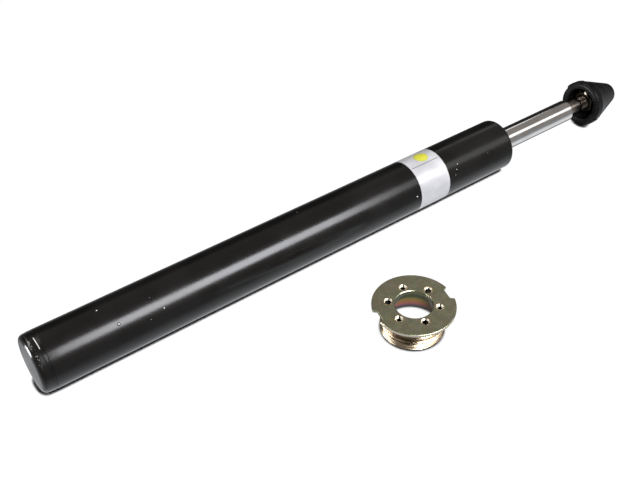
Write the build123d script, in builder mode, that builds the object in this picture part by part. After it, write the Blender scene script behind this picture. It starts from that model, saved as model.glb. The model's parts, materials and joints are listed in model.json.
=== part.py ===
from build123d import *
from math import cos, radians
import os

# Suspension strut insert: a closed oil-filled tube with a chromed rod, a loose cap on the rod's
# threaded end, and the flanged ring nut that clamps the insert into its housing.
# Frame: +X runs along the strut from the closed base to the rod, +Z is up, and the origin is the
# centre of the base face. All sizes are in millimetres.

# Two edges with radii closer than this are the same size when an edge is picked by its radius
edge_match = 0.01

# Outer tube and its closed base
tube_radius = 25.0
tube_wall = 2.0
tube_length = 493.5
roll_radius = 3.5
roll_opening_radius = 19.5
base_rim_radius = 3.0
base_skirt_length = 9.4
base_floor = 5.0
base_spigot_length = 8.6
base_cup_wall = 3.0
base_cup_chamfer = 0.8
seam_width = 1.2
seam_depth = 0.45

# Foil label round the tube
label_start = 374.0
label_width = 35.0
label_thickness = 0.12

# Piston rod
rod_radius = 11.0
rod_stand_out = 101.5
rod_shoulder_chamfer = 0.8
shank_radius = 7.0
shank_length = 48.0
shank_end_chamfer = 1.2
shank_key_across_flats = 6.0
shank_key_depth = 7.0
travel_in = 90.0
travel_out = 95.0

# Rod guide and the seals held under the rolled edge
running_clearance = 0.04
end_washer_thickness = 4.0
wiper_width = 4.0
wiper_body_thickness = 2.4
wiper_lip_length = 3.2
wiper_lip_land = 1.2
wiper_lip_thickness = 0.6
wiper_neck_width = 2.6
wiper_neck_drop = 0.6
guide_length = 30.0
guide_head_length = 17.5
seal_width = 6.0
seal_pocket_depth = 9.5
seal_outer_wall = 1.6
seal_heel_thickness = 3.0
seal_heel_lift = 1.2
seal_bore_clearance = 1.2
seal_lip_inset = 1.5
seal_lip_face = 0.7
seal_lip_lead = 1.0
seal_lip_tail = 1.8
seal_lip_relief = 0.3
bush_wall = 1.5
bush_length = 17.0
bush_inset = 1.5
guide_groove_width = 4.2
guide_groove_depth = 2.4
guide_groove_inset = 5.0
static_ring_squeeze = 0.4
static_ring_roundness = 0.45
garter_wire_radius = 0.8
garter_height = 2.6
garter_inset = 1.4

# Inner cylinder and foot valve
cylinder_bore_radius = 16.0
cylinder_wall = 1.5
foot_skirt_height = 21.0
foot_plate_thickness = 12.0
foot_spigot_height = 4.0
foot_skirt_wall = 3.5
foot_slot_width = 6.0
foot_slot_height = 8.0
foot_slot_count = 6
foot_port_count = 6
foot_port_radius = 2.0
foot_port_circle = 11.6
foot_bleed_count = 4
foot_bleed_radius = 1.5
foot_bleed_circle = 7.2
foot_stud_radius = 4.0
foot_stud_head_across_flats = 13.0
foot_stud_head_height = 5.0
foot_nut_across_flats = 13.0
foot_nut_height = 6.0
foot_disc_thickness = 0.5
foot_disc_radii = (9.8, 8.6, 7.4)
intake_disc_thickness = 0.6
intake_disc_edge_gap = 1.6
star_spring_height = 2.4
star_spring_inset = 1.4
star_spring_wall = 0.6
star_spring_seat = 2.5
star_spring_seat_step = 0.5

# Piston and the stack on the rod's lower end
piston_length = 22.0
piston_land_clearance = 0.3
piston_ring_thickness = 1.4
piston_ring_width = 10.0
piston_ring_clearance = 0.05
piston_spigot_radius = 6.0
piston_port_count = 6
piston_port_radius = 1.8
piston_port_circle = 11.2
piston_bleed_radius = 1.3
piston_bleed_circle = 8.2
piston_recess_depth = 1.2
piston_groove_overcut = 1.0
check_disc_thickness = 0.8
check_disc_overlap = 2.0
stop_plate_thickness = 3.0
stop_plate_radius = 9.4
rebound_disc_thickness = 0.6
rebound_disc_radii = (12.6, 11.2, 9.8)
disc_washer_thickness = 2.0
disc_washer_radius = 8.2
piston_nut_across_flats = 19.0
piston_nut_height = 11.0
spigot_overhang = 1.5

# Rebound stop on the rod
rebound_spacing = 44.0
stop_collar_length = 8.0
stop_collar_gap = 1.4
stop_collar_chamfer = 0.8
bumper_length = 8.0
bumper_side_gap = 0.8
bumper_end_gap = 0.5
bumper_round = 2.2

# Lock nut near the end of the shank
lock_nut_across_flats = 21.0
lock_nut_height = 13.0
lock_nut_end_distance = 8.0
lock_nut_chamfer_radius = 10.0

# Cap hung over the rod's end: its mouth centre, and the small angles by which it hangs askew
cap_overlap = 26.1
cap_mouth_y = -0.4
cap_mouth_z = -0.6
cap_yaw = 4.0
cap_droop = 6.5
cap_length = 50.2
cap_mouth_radius = 16.0
cap_mouth_chamfer = 0.9
cap_rim_radius = 20.5
cap_rim_height = 1.4
cap_rim_round = 0.7
cap_lobe_radius = 23.6
cap_lobe_height = 6.8
cap_lobe_root = 1.5
cap_body_radius = 23.2
cap_tail_radius = 10.2
cap_tail_fillet = 3.0
cap_bore_depth = 26.0
cap_bore_taper = 1.0
cap_cavity_depth = 41.0
cap_cavity_end_radius = 7.5
cap_lobes = ((29.0, 43.0), (79.0, 121.0), (206.0, 22.0), (234.0, 33.0))

# Flanged ring nut lying on its barrel beside the tube
ring_nut_x = 277.8
ring_nut_y = -125.2
ring_nut_height = 26.8
ring_thread_radius = 27.0
ring_thread_relief = 1.2
ring_thread_relief_height = 2.4
ring_flange_overhang = 7.8
ring_flange_thickness = 2.6
ring_flange_round = 0.7
ring_barrel_wall = 3.0
ring_barrel_lead = 1.3
ring_plate_thickness = 6.6
ring_bore_radius = 15.5
ring_bore_chamfer = 1.6
pin_hole_inset = 2.9
pin_hole_start = 15.0
pin_hole_count = 3
large_pin_hole_radius = 2.5
large_pin_sink_radius = 3.6
small_pin_hole_radius = 1.5
small_pin_sink_radius = 3.2
pin_sink_angle = 90.0
flange_notch_width = 13.0
flange_notch_depth = 4.1
flange_notch_angle = 167.0
flange_notch_count = 2

# Places along the strut that follow from the sizes above
tube_bore_radius = tube_radius - tube_wall
base_cup_bore_radius = tube_bore_radius - base_cup_wall
tube_start = base_skirt_length + seam_width
roll_underside_x = tube_length - tube_wall
washer_x = roll_underside_x - end_washer_thickness
guide_x = washer_x - guide_length
guide_shoulder_x = washer_x - guide_head_length
seal_pocket_x = washer_x - seal_pocket_depth
foot_plate_x = base_floor + foot_skirt_height
foot_shoulder_x = foot_plate_x + foot_plate_thickness
foot_top_x = foot_shoulder_x + foot_spigot_height
bumper_x = guide_x - travel_out - bumper_end_gap - bumper_length
collar_x = bumper_x - stop_collar_length
rod_lower_shoulder_x = collar_x - rebound_spacing
check_disc_x = rod_lower_shoulder_x - stop_plate_thickness - check_disc_thickness
piston_x = check_disc_x - piston_length
rebound_stack_x = piston_x - rebound_disc_thickness * len(rebound_disc_radii)
disc_washer_x = rebound_stack_x - disc_washer_thickness
piston_nut_x = disc_washer_x - piston_nut_height
rod_shoulder_x = tube_length + rod_stand_out
rod_end_x = rod_shoulder_x + shank_length
lock_nut_x = rod_end_x - lock_nut_end_distance - lock_nut_height
rod_pass_radius = rod_radius + running_clearance
end_washer_hole_radius = rod_radius + wiper_width
seal_pocket_radius = rod_radius + seal_width
garter_radius = rod_radius + garter_height
intake_disc_radius = cylinder_bore_radius - intake_disc_edge_gap
star_spring_radius = intake_disc_radius - star_spring_inset
stop_collar_radius = cylinder_bore_radius - stop_collar_gap
bumper_radius = cylinder_bore_radius - bumper_side_gap
check_disc_radius = piston_port_circle + check_disc_overlap
floor_z = -tube_radius - label_thickness
ring_barrel_bore_radius = ring_thread_radius - ring_barrel_wall
ring_flange_radius = ring_thread_radius + ring_flange_overhang
pin_hole_circle = ring_barrel_bore_radius - pin_hole_inset

# Planes: across the strut at a place along it, and in or across the cap's own askew axis
strut_profile = Plane.XY
cap_axis = Vector(1, 0, 0).rotate(Axis.Y, cap_droop).rotate(Axis.Z, cap_yaw)
cap_origin = Vector(rod_end_x - cap_overlap, cap_mouth_y, cap_mouth_z)
cap_side = Vector(0, 1, 0).rotate(Axis.Z, cap_yaw)
cap_mouth_plane = Plane(origin=cap_origin, x_dir=cap_side, z_dir=cap_axis)
cap_profile = Plane(origin=cap_origin, x_dir=cap_axis, z_dir=cap_axis.cross(cap_side))
ring_nut_base = Plane(origin=(ring_nut_x, ring_nut_y, floor_z))
ring_nut_profile = Plane(origin=(ring_nut_x, ring_nut_y, floor_z), x_dir=(1, 0, 0), z_dir=(0, -1, 0))
ring_nut_axis = Axis((ring_nut_x, ring_nut_y, floor_z), (0, 0, 1))

os.makedirs("parts", exist_ok=True)


def across(x):
    """Plane square to the strut at a distance x from the base face."""
    return Plane.YZ.offset(x)


# Outer tube: a drawn tube whose open end is rolled inwards over the end washer.
with BuildPart() as outer_tube:
    with BuildSketch(strut_profile):
        with BuildLine():
            outside = Line((tube_start, tube_radius), (tube_length - roll_radius, tube_radius))
            roll = CenterArc((tube_length - roll_radius, tube_radius - roll_radius), roll_radius, 90, -90)
            lip_face = Line(roll @ 1, (tube_length, roll_opening_radius))
            lip_edge = Line(lip_face @ 1, (roll_underside_x, roll_opening_radius))
            lip_back = Line(lip_edge @ 1, (roll_underside_x, tube_radius - roll_radius))
            inner_roll = CenterArc((tube_length - roll_radius, tube_radius - roll_radius),
                                   roll_radius - tube_wall, 0, 90)
            bore = Line(inner_roll @ 1, (tube_start, tube_bore_radius))
            Line(bore @ 1, outside @ 0)
        make_face()
    revolve(axis=Axis.X)
outer_tube.part.label = "outer_tube"
export_step(outer_tube.part, "parts/outer_tube.step")

# Base cup: the pressed end, with a rounded rim, a skirt as wide as the tube and a spigot inside it.
with BuildPart() as base_cup:
    with BuildSketch(strut_profile):
        with BuildLine():
            face = Line((0, 0), (0, tube_radius - base_rim_radius))
            rim = CenterArc((base_rim_radius, tube_radius - base_rim_radius), base_rim_radius, 180, -90)
            skirt = Line(rim @ 1, (base_skirt_length, tube_radius))
            step = Line(skirt @ 1, (base_skirt_length, tube_bore_radius))
            spigot = Line(step @ 1, (base_skirt_length + base_spigot_length, tube_bore_radius))
            end = Line(spigot @ 1, (base_skirt_length + base_spigot_length, base_cup_bore_radius))
            wall = Line(end @ 1, (base_floor, base_cup_bore_radius))
            floor_line = Line(wall @ 1, (base_floor, 0))
            Line(floor_line @ 1, face @ 0)
        make_face()
    revolve(axis=Axis.X)
    spigot_edge = base_cup.edges().filter_by(GeomType.CIRCLE).filter_by(
        lambda e: abs(e.radius - tube_bore_radius) < edge_match).sort_by(Axis.X)[-1]
    chamfer(spigot_edge, length=base_cup_chamfer)
base_cup.part.label = "base_cup"
export_step(base_cup.part, "parts/base_cup.step")

# Base seam: the weld that fills the groove between the base cup's skirt and the tube.
with BuildPart() as base_seam:
    with BuildSketch(strut_profile):
        with BuildLine():
            left = Line((base_skirt_length, tube_bore_radius), (base_skirt_length, tube_radius - seam_depth))
            crown = ThreePointArc(left @ 1,
                                  (base_skirt_length + seam_width / 2, tube_radius - seam_depth / 2),
                                  (tube_start, tube_radius - seam_depth))
            right = Line(crown @ 1, (tube_start, tube_bore_radius))
            Line(right @ 1, left @ 0)
        make_face()
    revolve(axis=Axis.X)
base_seam.part.label = "base_seam"
export_step(base_seam.part, "parts/base_seam.step")

# Label band: printed foil wrapped round the tube.
with BuildPart() as label_band:
    with BuildSketch(across(label_start)):
        Circle(tube_radius + label_thickness)
        Circle(tube_radius, mode=Mode.SUBTRACT)
    extrude(amount=label_width)
label_band.part.label = "label_band"
export_step(label_band.part, "parts/label_band.step")

# Inner cylinder: the smooth bore that the piston works in, between foot valve and rod guide.
with BuildPart() as inner_cylinder:
    with BuildSketch(across(foot_shoulder_x)):
        Circle(cylinder_bore_radius + cylinder_wall)
        Circle(cylinder_bore_radius, mode=Mode.SUBTRACT)
    extrude(amount=guide_shoulder_x - foot_shoulder_x)
inner_cylinder.part.label = "inner_cylinder"
export_step(inner_cylinder.part, "parts/inner_cylinder.step")

# Foot valve body: a skirt with oil slots that stands in the base cup, a plate with two rings of
# ports, and a spigot that centres the inner cylinder.
with BuildPart() as foot_valve_body:
    with BuildSketch(strut_profile):
        with BuildLine():
            stud_wall = Line((foot_top_x, foot_stud_radius), (foot_plate_x, foot_stud_radius))
            underside = Line(stud_wall @ 1, (foot_plate_x, base_cup_bore_radius - foot_skirt_wall))
            skirt_inside = Line(underside @ 1, (base_floor, base_cup_bore_radius - foot_skirt_wall))
            foot = Line(skirt_inside @ 1, (base_floor, base_cup_bore_radius))
            outside = Line(foot @ 1, (foot_shoulder_x, base_cup_bore_radius))
            shoulder = Line(outside @ 1, (foot_shoulder_x, cylinder_bore_radius))
            spigot = Line(shoulder @ 1, (foot_top_x, cylinder_bore_radius))
            Line(spigot @ 1, stud_wall @ 0)
        make_face()
    revolve(axis=Axis.X)
    with BuildSketch(across(foot_plate_x)):
        with PolarLocations(foot_port_circle, foot_port_count):
            Circle(foot_port_radius)
        with PolarLocations(foot_bleed_circle, foot_bleed_count, start_angle=180 / foot_bleed_count):
            Circle(foot_bleed_radius)
    extrude(amount=foot_plate_thickness + foot_spigot_height, mode=Mode.SUBTRACT)
    with BuildSketch(across(base_floor)):
        with PolarLocations(base_cup_bore_radius, foot_slot_count):
            Rectangle(foot_skirt_wall * 3, foot_slot_width)
    extrude(amount=foot_slot_height, mode=Mode.SUBTRACT)
foot_valve_body.part.label = "foot_valve_body"
export_step(foot_valve_body.part, "parts/foot_valve_body.step")

# Foot valve stud: a hexagon head below the discs, and a shank up through the plate.
foot_disc_stack = foot_disc_thickness * len(foot_disc_radii)
foot_stud_head_x = foot_plate_x - foot_disc_stack - foot_stud_head_height
foot_nut_x = foot_top_x + intake_disc_thickness + star_spring_height
with BuildPart() as foot_valve_stud:
    with BuildSketch(across(foot_stud_head_x)):
        RegularPolygon(foot_stud_head_across_flats / 2, 6, major_radius=False)
    extrude(amount=foot_stud_head_height)
    with BuildSketch(across(foot_stud_head_x + foot_stud_head_height)):
        Circle(foot_stud_radius)
    extrude(amount=foot_nut_x + foot_nut_height + spigot_overhang - foot_stud_head_x - foot_stud_head_height)
foot_valve_stud.part.label = "foot_valve_stud"
export_step(foot_valve_stud.part, "parts/foot_valve_stud.step")

# Foot valve discs: thin spring discs, the widest against the plate.
with BuildPart() as foot_valve_discs:
    for index, radius in enumerate(foot_disc_radii):
        with BuildSketch(across(foot_plate_x - foot_disc_thickness * (index + 1))):
            Circle(radius)
            Circle(foot_stud_radius, mode=Mode.SUBTRACT)
        extrude(amount=foot_disc_thickness)
foot_valve_discs.part.label = "foot_valve_discs"
export_step(foot_valve_discs.part, "parts/foot_valve_discs.step")

# Intake disc: the one-way flap over the outer ports of the foot valve.
with BuildPart() as intake_disc:
    with BuildSketch(across(foot_top_x)):
        Circle(intake_disc_radius)
        Circle(foot_stud_radius, mode=Mode.SUBTRACT)
        with PolarLocations(foot_bleed_circle, foot_bleed_count, start_angle=180 / foot_bleed_count):
            Circle(foot_bleed_radius, mode=Mode.SUBTRACT)
    extrude(amount=intake_disc_thickness)
intake_disc.part.label = "intake_disc"
export_step(intake_disc.part, "parts/intake_disc.step")

# Star spring: a shallow sprung cone that holds the intake disc down.
with BuildPart() as star_spring:
    with BuildSketch(strut_profile):
        with BuildLine():
            Polyline((foot_nut_x, foot_stud_radius), (foot_nut_x, foot_stud_radius + star_spring_seat),
                     (foot_nut_x - star_spring_height + star_spring_wall, star_spring_radius),
                     (foot_nut_x - star_spring_height, star_spring_radius),
                     (foot_nut_x - star_spring_wall,
                      foot_stud_radius + star_spring_seat - star_spring_seat_step),
                     (foot_nut_x - star_spring_wall, foot_stud_radius), close=True)
        make_face()
    revolve(axis=Axis.X)
star_spring.part.label = "star_spring"
export_step(star_spring.part, "parts/star_spring.step")

# Foot valve nut
with BuildPart() as foot_valve_nut:
    with BuildSketch(across(foot_nut_x)):
        RegularPolygon(foot_nut_across_flats / 2, 6, major_radius=False)
        Circle(foot_stud_radius, mode=Mode.SUBTRACT)
    extrude(amount=foot_nut_height)
foot_valve_nut.part.label = "foot_valve_nut"
export_step(foot_valve_nut.part, "parts/foot_valve_nut.step")

# Rod guide: sintered ring with a spigot in the inner cylinder, a bushed bore, a seal pocket in
# its outer face and a groove for the static ring.
groove_end_x = washer_x - guide_groove_inset
with BuildPart() as rod_guide:
    with BuildSketch(strut_profile):
        with BuildLine():
            Polyline((guide_x, rod_radius + bush_wall), (guide_x, cylinder_bore_radius),
                     (guide_shoulder_x, cylinder_bore_radius), (guide_shoulder_x, tube_bore_radius),
                     (groove_end_x - guide_groove_width, tube_bore_radius),
                     (groove_end_x - guide_groove_width, tube_bore_radius - guide_groove_depth),
                     (groove_end_x, tube_bore_radius - guide_groove_depth),
                     (groove_end_x, tube_bore_radius), (washer_x, tube_bore_radius),
                     (washer_x, seal_pocket_radius), (seal_pocket_x, seal_pocket_radius),
                     (seal_pocket_x, rod_radius + bush_wall), close=True)
        make_face()
    revolve(axis=Axis.X)
rod_guide.part.label = "rod_guide"
export_step(rod_guide.part, "parts/rod_guide.step")

# Guide bush: the thin lined sleeve that the rod runs in.
with BuildPart() as guide_bush:
    with BuildSketch(across(guide_x + bush_inset)):
        Circle(rod_radius + bush_wall)
        Circle(rod_pass_radius, mode=Mode.SUBTRACT)
    extrude(amount=bush_length)
guide_bush.part.label = "guide_bush"
export_step(guide_bush.part, "parts/guide_bush.step")

# Static ring: the rubber ring that seals the guide in the outer tube.
with BuildPart() as guide_static_ring:
    with BuildSketch(strut_profile):
        with Locations((groove_end_x - guide_groove_width / 2, tube_bore_radius - guide_groove_depth / 2)):
            RectangleRounded(guide_groove_width - static_ring_squeeze, guide_groove_depth,
                             guide_groove_depth * static_ring_roundness)
    revolve(axis=Axis.X)
guide_static_ring.part.label = "guide_static_ring"
export_step(guide_static_ring.part, "parts/guide_static_ring.step")

# Rod seal: a rubber ring in the guide's pocket, with an oil lip that leans on the rod.
seal_lip_x = seal_pocket_x + seal_lip_inset
seal_heel_x = washer_x - seal_heel_thickness
seal_wall_radius = seal_pocket_radius - seal_outer_wall
with BuildPart() as rod_seal:
    with BuildSketch(strut_profile):
        with BuildLine():
            Polyline((seal_pocket_x, seal_pocket_radius), (seal_pocket_x, seal_wall_radius),
                     (seal_heel_x, seal_wall_radius), (seal_heel_x, garter_radius + seal_heel_lift),
                     (seal_lip_x, garter_radius - garter_wire_radius),
                     (seal_lip_x, rod_pass_radius + seal_lip_face),
                     (seal_lip_x + seal_lip_lead, rod_pass_radius),
                     (seal_lip_x + seal_lip_tail, rod_pass_radius + seal_lip_relief),
                     (washer_x, rod_pass_radius + seal_bore_clearance), (washer_x, seal_pocket_radius),
                     close=True)
        make_face()
    revolve(axis=Axis.X)
    with BuildSketch(strut_profile):
        with Locations((seal_lip_x + garter_inset, garter_radius)):
            Circle(garter_wire_radius)
    revolve(axis=Axis.X, mode=Mode.SUBTRACT)
rod_seal.part.label = "rod_seal"
export_step(rod_seal.part, "parts/rod_seal.step")

# Garter spring: the coil ring that presses the seal's lip inwards, as the ring that it forms.
with BuildPart() as seal_garter_spring:
    with BuildSketch(strut_profile):
        with Locations((seal_lip_x + garter_inset, garter_radius)):
            Circle(garter_wire_radius)
    revolve(axis=Axis.X)
seal_garter_spring.part.label = "seal_garter_spring"
export_step(seal_garter_spring.part, "parts/seal_garter_spring.step")

# End washer: the steel disc that the rolled edge clamps down, rounded to fit inside the roll.
with BuildPart() as end_washer:
    with BuildSketch(across(washer_x)):
        Circle(tube_bore_radius)
        Circle(end_washer_hole_radius, mode=Mode.SUBTRACT)
    extrude(amount=end_washer_thickness)
    washer_rim = end_washer.edges().filter_by(GeomType.CIRCLE).group_by(Axis.X)[-1].sort_by(
        lambda e: e.radius)[-1]
    fillet(washer_rim, radius=roll_radius - tube_wall)
end_washer.part.label = "end_washer"
export_step(end_washer.part, "parts/end_washer.step")

# Wiper: the rubber dust lip that stands out past the rolled edge and hugs the rod.
wiper_lip_x = tube_length + wiper_lip_length
wiper_back_radius = rod_pass_radius + seal_bore_clearance
with BuildPart() as wiper:
    with BuildSketch(strut_profile):
        with BuildLine():
            Polyline((washer_x, end_washer_hole_radius), (washer_x, wiper_back_radius),
                     (washer_x + wiper_body_thickness, wiper_back_radius),
                     (wiper_lip_x - wiper_lip_land, rod_pass_radius), (wiper_lip_x, rod_pass_radius),
                     (wiper_lip_x, rod_pass_radius + wiper_lip_thickness),
                     (roll_underside_x - wiper_neck_drop, rod_pass_radius + wiper_neck_width),
                     (roll_underside_x, end_washer_hole_radius), close=True)
        make_face()
    revolve(axis=Axis.X)
wiper.part.label = "wiper"
export_step(wiper.part, "parts/wiper.step")

# Piston rod: chromed bar, turned down at the bottom for the piston and at the top for the thread.
with BuildPart() as piston_rod:
    with BuildSketch(strut_profile):
        with BuildLine():
            Polyline((piston_nut_x - spigot_overhang, 0),
                     (piston_nut_x - spigot_overhang, piston_spigot_radius),
                     (rod_lower_shoulder_x, piston_spigot_radius), (rod_lower_shoulder_x, rod_radius),
                     (rod_shoulder_x - rod_shoulder_chamfer, rod_radius),
                     (rod_shoulder_x, rod_radius - rod_shoulder_chamfer),
                     (rod_shoulder_x, shank_radius), (rod_end_x - shank_end_chamfer, shank_radius),
                     (rod_end_x, shank_radius - shank_end_chamfer), (rod_end_x, 0), close=True)
        make_face()
    revolve(axis=Axis.X)
    with BuildSketch(across(rod_end_x)):
        RegularPolygon(shank_key_across_flats / 2, 6, major_radius=False)
    extrude(amount=-shank_key_depth, mode=Mode.SUBTRACT)
piston_rod.part.label = "piston_rod"
export_step(piston_rod.part, "parts/piston_rod.step")

# Rebound stop: a collar fixed on the rod, and the rubber bumper that meets the guide at full reach.
with BuildPart() as rebound_collar:
    with BuildSketch(across(collar_x)):
        Circle(stop_collar_radius)
        Circle(rod_radius, mode=Mode.SUBTRACT)
    extrude(amount=stop_collar_length)
    collar_rims = rebound_collar.edges().filter_by(lambda e: abs(e.radius - stop_collar_radius) < edge_match
                                                   if e.geom_type == GeomType.CIRCLE else False)
    chamfer(collar_rims, length=stop_collar_chamfer)
rebound_collar.part.label = "rebound_collar"
export_step(rebound_collar.part, "parts/rebound_collar.step")

with BuildPart() as rebound_bumper:
    with BuildSketch(across(bumper_x)):
        Circle(bumper_radius)
        Circle(rod_radius, mode=Mode.SUBTRACT)
    extrude(amount=bumper_length)
    bumper_rims = rebound_bumper.edges().filter_by(lambda e: abs(e.radius - bumper_radius) < edge_match
                                                   if e.geom_type == GeomType.CIRCLE else False)
    fillet(bumper_rims, radius=bumper_round)
rebound_bumper.part.label = "rebound_bumper"
export_step(rebound_bumper.part, "parts/rebound_bumper.step")

# Piston: a sintered disc with two rings of oil ports, recessed faces and a groove for its ring.
piston_radius = cylinder_bore_radius - piston_land_clearance
piston_ring_outer = cylinder_bore_radius - running_clearance
piston_groove_radius = piston_ring_outer - piston_ring_thickness - piston_ring_clearance
piston_groove_width = piston_ring_width + 2 * piston_ring_clearance
piston_ring_x = piston_x + (piston_length - piston_ring_width) / 2
with BuildPart() as piston:
    with BuildSketch(across(piston_x)):
        Circle(piston_radius)
        Circle(piston_spigot_radius, mode=Mode.SUBTRACT)
    extrude(amount=piston_length)
    with BuildSketch(across(piston_ring_x - piston_ring_clearance)):
        Circle(piston_radius + piston_groove_overcut)
        Circle(piston_groove_radius, mode=Mode.SUBTRACT)
    extrude(amount=piston_groove_width, mode=Mode.SUBTRACT)
    with BuildSketch(across(piston_x)):
        with PolarLocations(piston_port_circle, piston_port_count):
            Circle(piston_port_radius)
        with PolarLocations(piston_bleed_circle, piston_port_count, start_angle=180 / piston_port_count):
            Circle(piston_bleed_radius)
    extrude(amount=piston_length, mode=Mode.SUBTRACT)
    with BuildSketch(across(piston_x + piston_length - piston_recess_depth)):
        Circle(piston_port_circle + piston_port_radius / 2)
        Circle(piston_port_circle - piston_port_radius / 2, mode=Mode.SUBTRACT)
    extrude(amount=piston_recess_depth, mode=Mode.SUBTRACT)
    with BuildSketch(across(piston_x)):
        Circle(piston_bleed_circle + piston_bleed_radius / 2)
        Circle(piston_bleed_circle - piston_bleed_radius / 2, mode=Mode.SUBTRACT)
    extrude(amount=piston_recess_depth, mode=Mode.SUBTRACT)
piston.part.label = "piston"
export_step(piston.part, "parts/piston.step")

# Piston ring: the low-friction band that slides in the inner cylinder while the rod may turn.
with BuildPart() as piston_ring:
    with BuildSketch(across(piston_ring_x)):
        Circle(piston_ring_outer)
        Circle(piston_ring_outer - piston_ring_thickness, mode=Mode.SUBTRACT)
    extrude(amount=piston_ring_width)
piston_ring.part.label = "piston_ring"
export_step(piston_ring.part, "parts/piston_ring.step")

# Check disc and stop plate above the piston
with BuildPart() as check_disc:
    with BuildSketch(across(check_disc_x)):
        Circle(check_disc_radius)
        Circle(piston_spigot_radius, mode=Mode.SUBTRACT)
    extrude(amount=check_disc_thickness)
check_disc.part.label = "check_disc"
export_step(check_disc.part, "parts/check_disc.step")

with BuildPart() as stop_plate:
    with BuildSketch(across(check_disc_x + check_disc_thickness)):
        Circle(stop_plate_radius)
        Circle(piston_spigot_radius, mode=Mode.SUBTRACT)
    extrude(amount=stop_plate_thickness)
stop_plate.part.label = "stop_plate"
export_step(stop_plate.part, "parts/stop_plate.step")

# Rebound discs: the stepped stack of spring discs below the piston.
with BuildPart() as rebound_discs:
    for index, radius in enumerate(rebound_disc_radii):
        with BuildSketch(across(piston_x - rebound_disc_thickness * (index + 1))):
            Circle(radius)
            Circle(piston_spigot_radius, mode=Mode.SUBTRACT)
        extrude(amount=rebound_disc_thickness)
rebound_discs.part.label = "rebound_discs"
export_step(rebound_discs.part, "parts/rebound_discs.step")

with BuildPart() as disc_washer:
    with BuildSketch(across(disc_washer_x)):
        Circle(disc_washer_radius)
        Circle(piston_spigot_radius, mode=Mode.SUBTRACT)
    extrude(amount=disc_washer_thickness)
disc_washer.part.label = "disc_washer"
export_step(disc_washer.part, "parts/disc_washer.step")

with BuildPart() as piston_nut:
    with BuildSketch(across(piston_nut_x)):
        RegularPolygon(piston_nut_across_flats / 2, 6, major_radius=False)
        Circle(piston_spigot_radius, mode=Mode.SUBTRACT)
    extrude(amount=piston_nut_height)
piston_nut.part.label = "piston_nut"
export_step(piston_nut.part, "parts/piston_nut.step")

# Lock nut: a hexagon nut on the shank's thread, with its corners chamfered on both faces.
lock_nut_corner = lock_nut_across_flats / 2 / cos(radians(30))
with BuildPart() as lock_nut:
    with BuildSketch(across(lock_nut_x)):
        RegularPolygon(lock_nut_across_flats / 2, 6, major_radius=False)
        Circle(shank_radius, mode=Mode.SUBTRACT)
    extrude(amount=lock_nut_height)
    with BuildSketch(strut_profile):
        with BuildLine():
            Polyline((lock_nut_x, 0), (lock_nut_x, lock_nut_chamfer_radius),
                     (lock_nut_x + (lock_nut_corner - lock_nut_chamfer_radius) / 2, lock_nut_corner),
                     (lock_nut_x + lock_nut_height - (lock_nut_corner - lock_nut_chamfer_radius) / 2,
                      lock_nut_corner),
                     (lock_nut_x + lock_nut_height, lock_nut_chamfer_radius),
                     (lock_nut_x + lock_nut_height, 0), close=True)
        make_face()
    revolve(axis=Axis.X, mode=Mode.INTERSECT)
lock_nut.part.label = "lock_nut"
export_step(lock_nut.part, "parts/lock_nut.step")

# Rod end cap: a hollow rubber cap with a lobed rim, tapering to a blunt tail.
lobe_top = cap_rim_height + cap_lobe_height
with BuildPart() as rod_end_cap:
    with BuildSketch(cap_profile):
        with BuildLine():
            Polyline((0, 0), (0, cap_rim_radius), (cap_rim_height, cap_rim_radius),
                     (lobe_top, cap_body_radius), (cap_length, cap_tail_radius), (cap_length, 0),
                     close=True)
        make_face()
    revolve(axis=Axis(cap_origin, cap_axis))
    tail_edge = rod_end_cap.edges().filter_by(GeomType.CIRCLE).filter_by(
        lambda e: abs(e.radius - cap_tail_radius) < edge_match)
    fillet(tail_edge, radius=cap_tail_fillet)
    rim_edge = rod_end_cap.edges().filter_by(GeomType.CIRCLE).filter_by(
        lambda e: abs(e.radius - cap_rim_radius) < edge_match).sort_by(Axis.X)[0]
    fillet(rim_edge, radius=cap_rim_round)
    with BuildSketch(cap_mouth_plane.offset(cap_rim_height)):
        for start, size in cap_lobes:
            with BuildLine():
                outer = CenterArc((0, 0), cap_lobe_radius, start, size)
                inner = CenterArc((0, 0), cap_mouth_radius + cap_lobe_root, start, size)
                Line(outer @ 0, inner @ 0)
                Line(outer @ 1, inner @ 1)
            make_face()
    extrude(amount=cap_lobe_height)
    with BuildSketch(cap_profile):
        with BuildLine():
            Polyline((0, 0), (0, cap_mouth_radius + cap_mouth_chamfer),
                     (cap_mouth_chamfer, cap_mouth_radius),
                     (cap_bore_depth, cap_mouth_radius - cap_bore_taper),
                     (cap_cavity_depth, cap_cavity_end_radius), (cap_cavity_depth, 0), close=True)
        make_face()
    revolve(axis=Axis(cap_origin, cap_axis), mode=Mode.SUBTRACT)
rod_end_cap.part.label = "rod_end_cap"
export_step(rod_end_cap.part, "parts/rod_end_cap.step")

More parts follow.
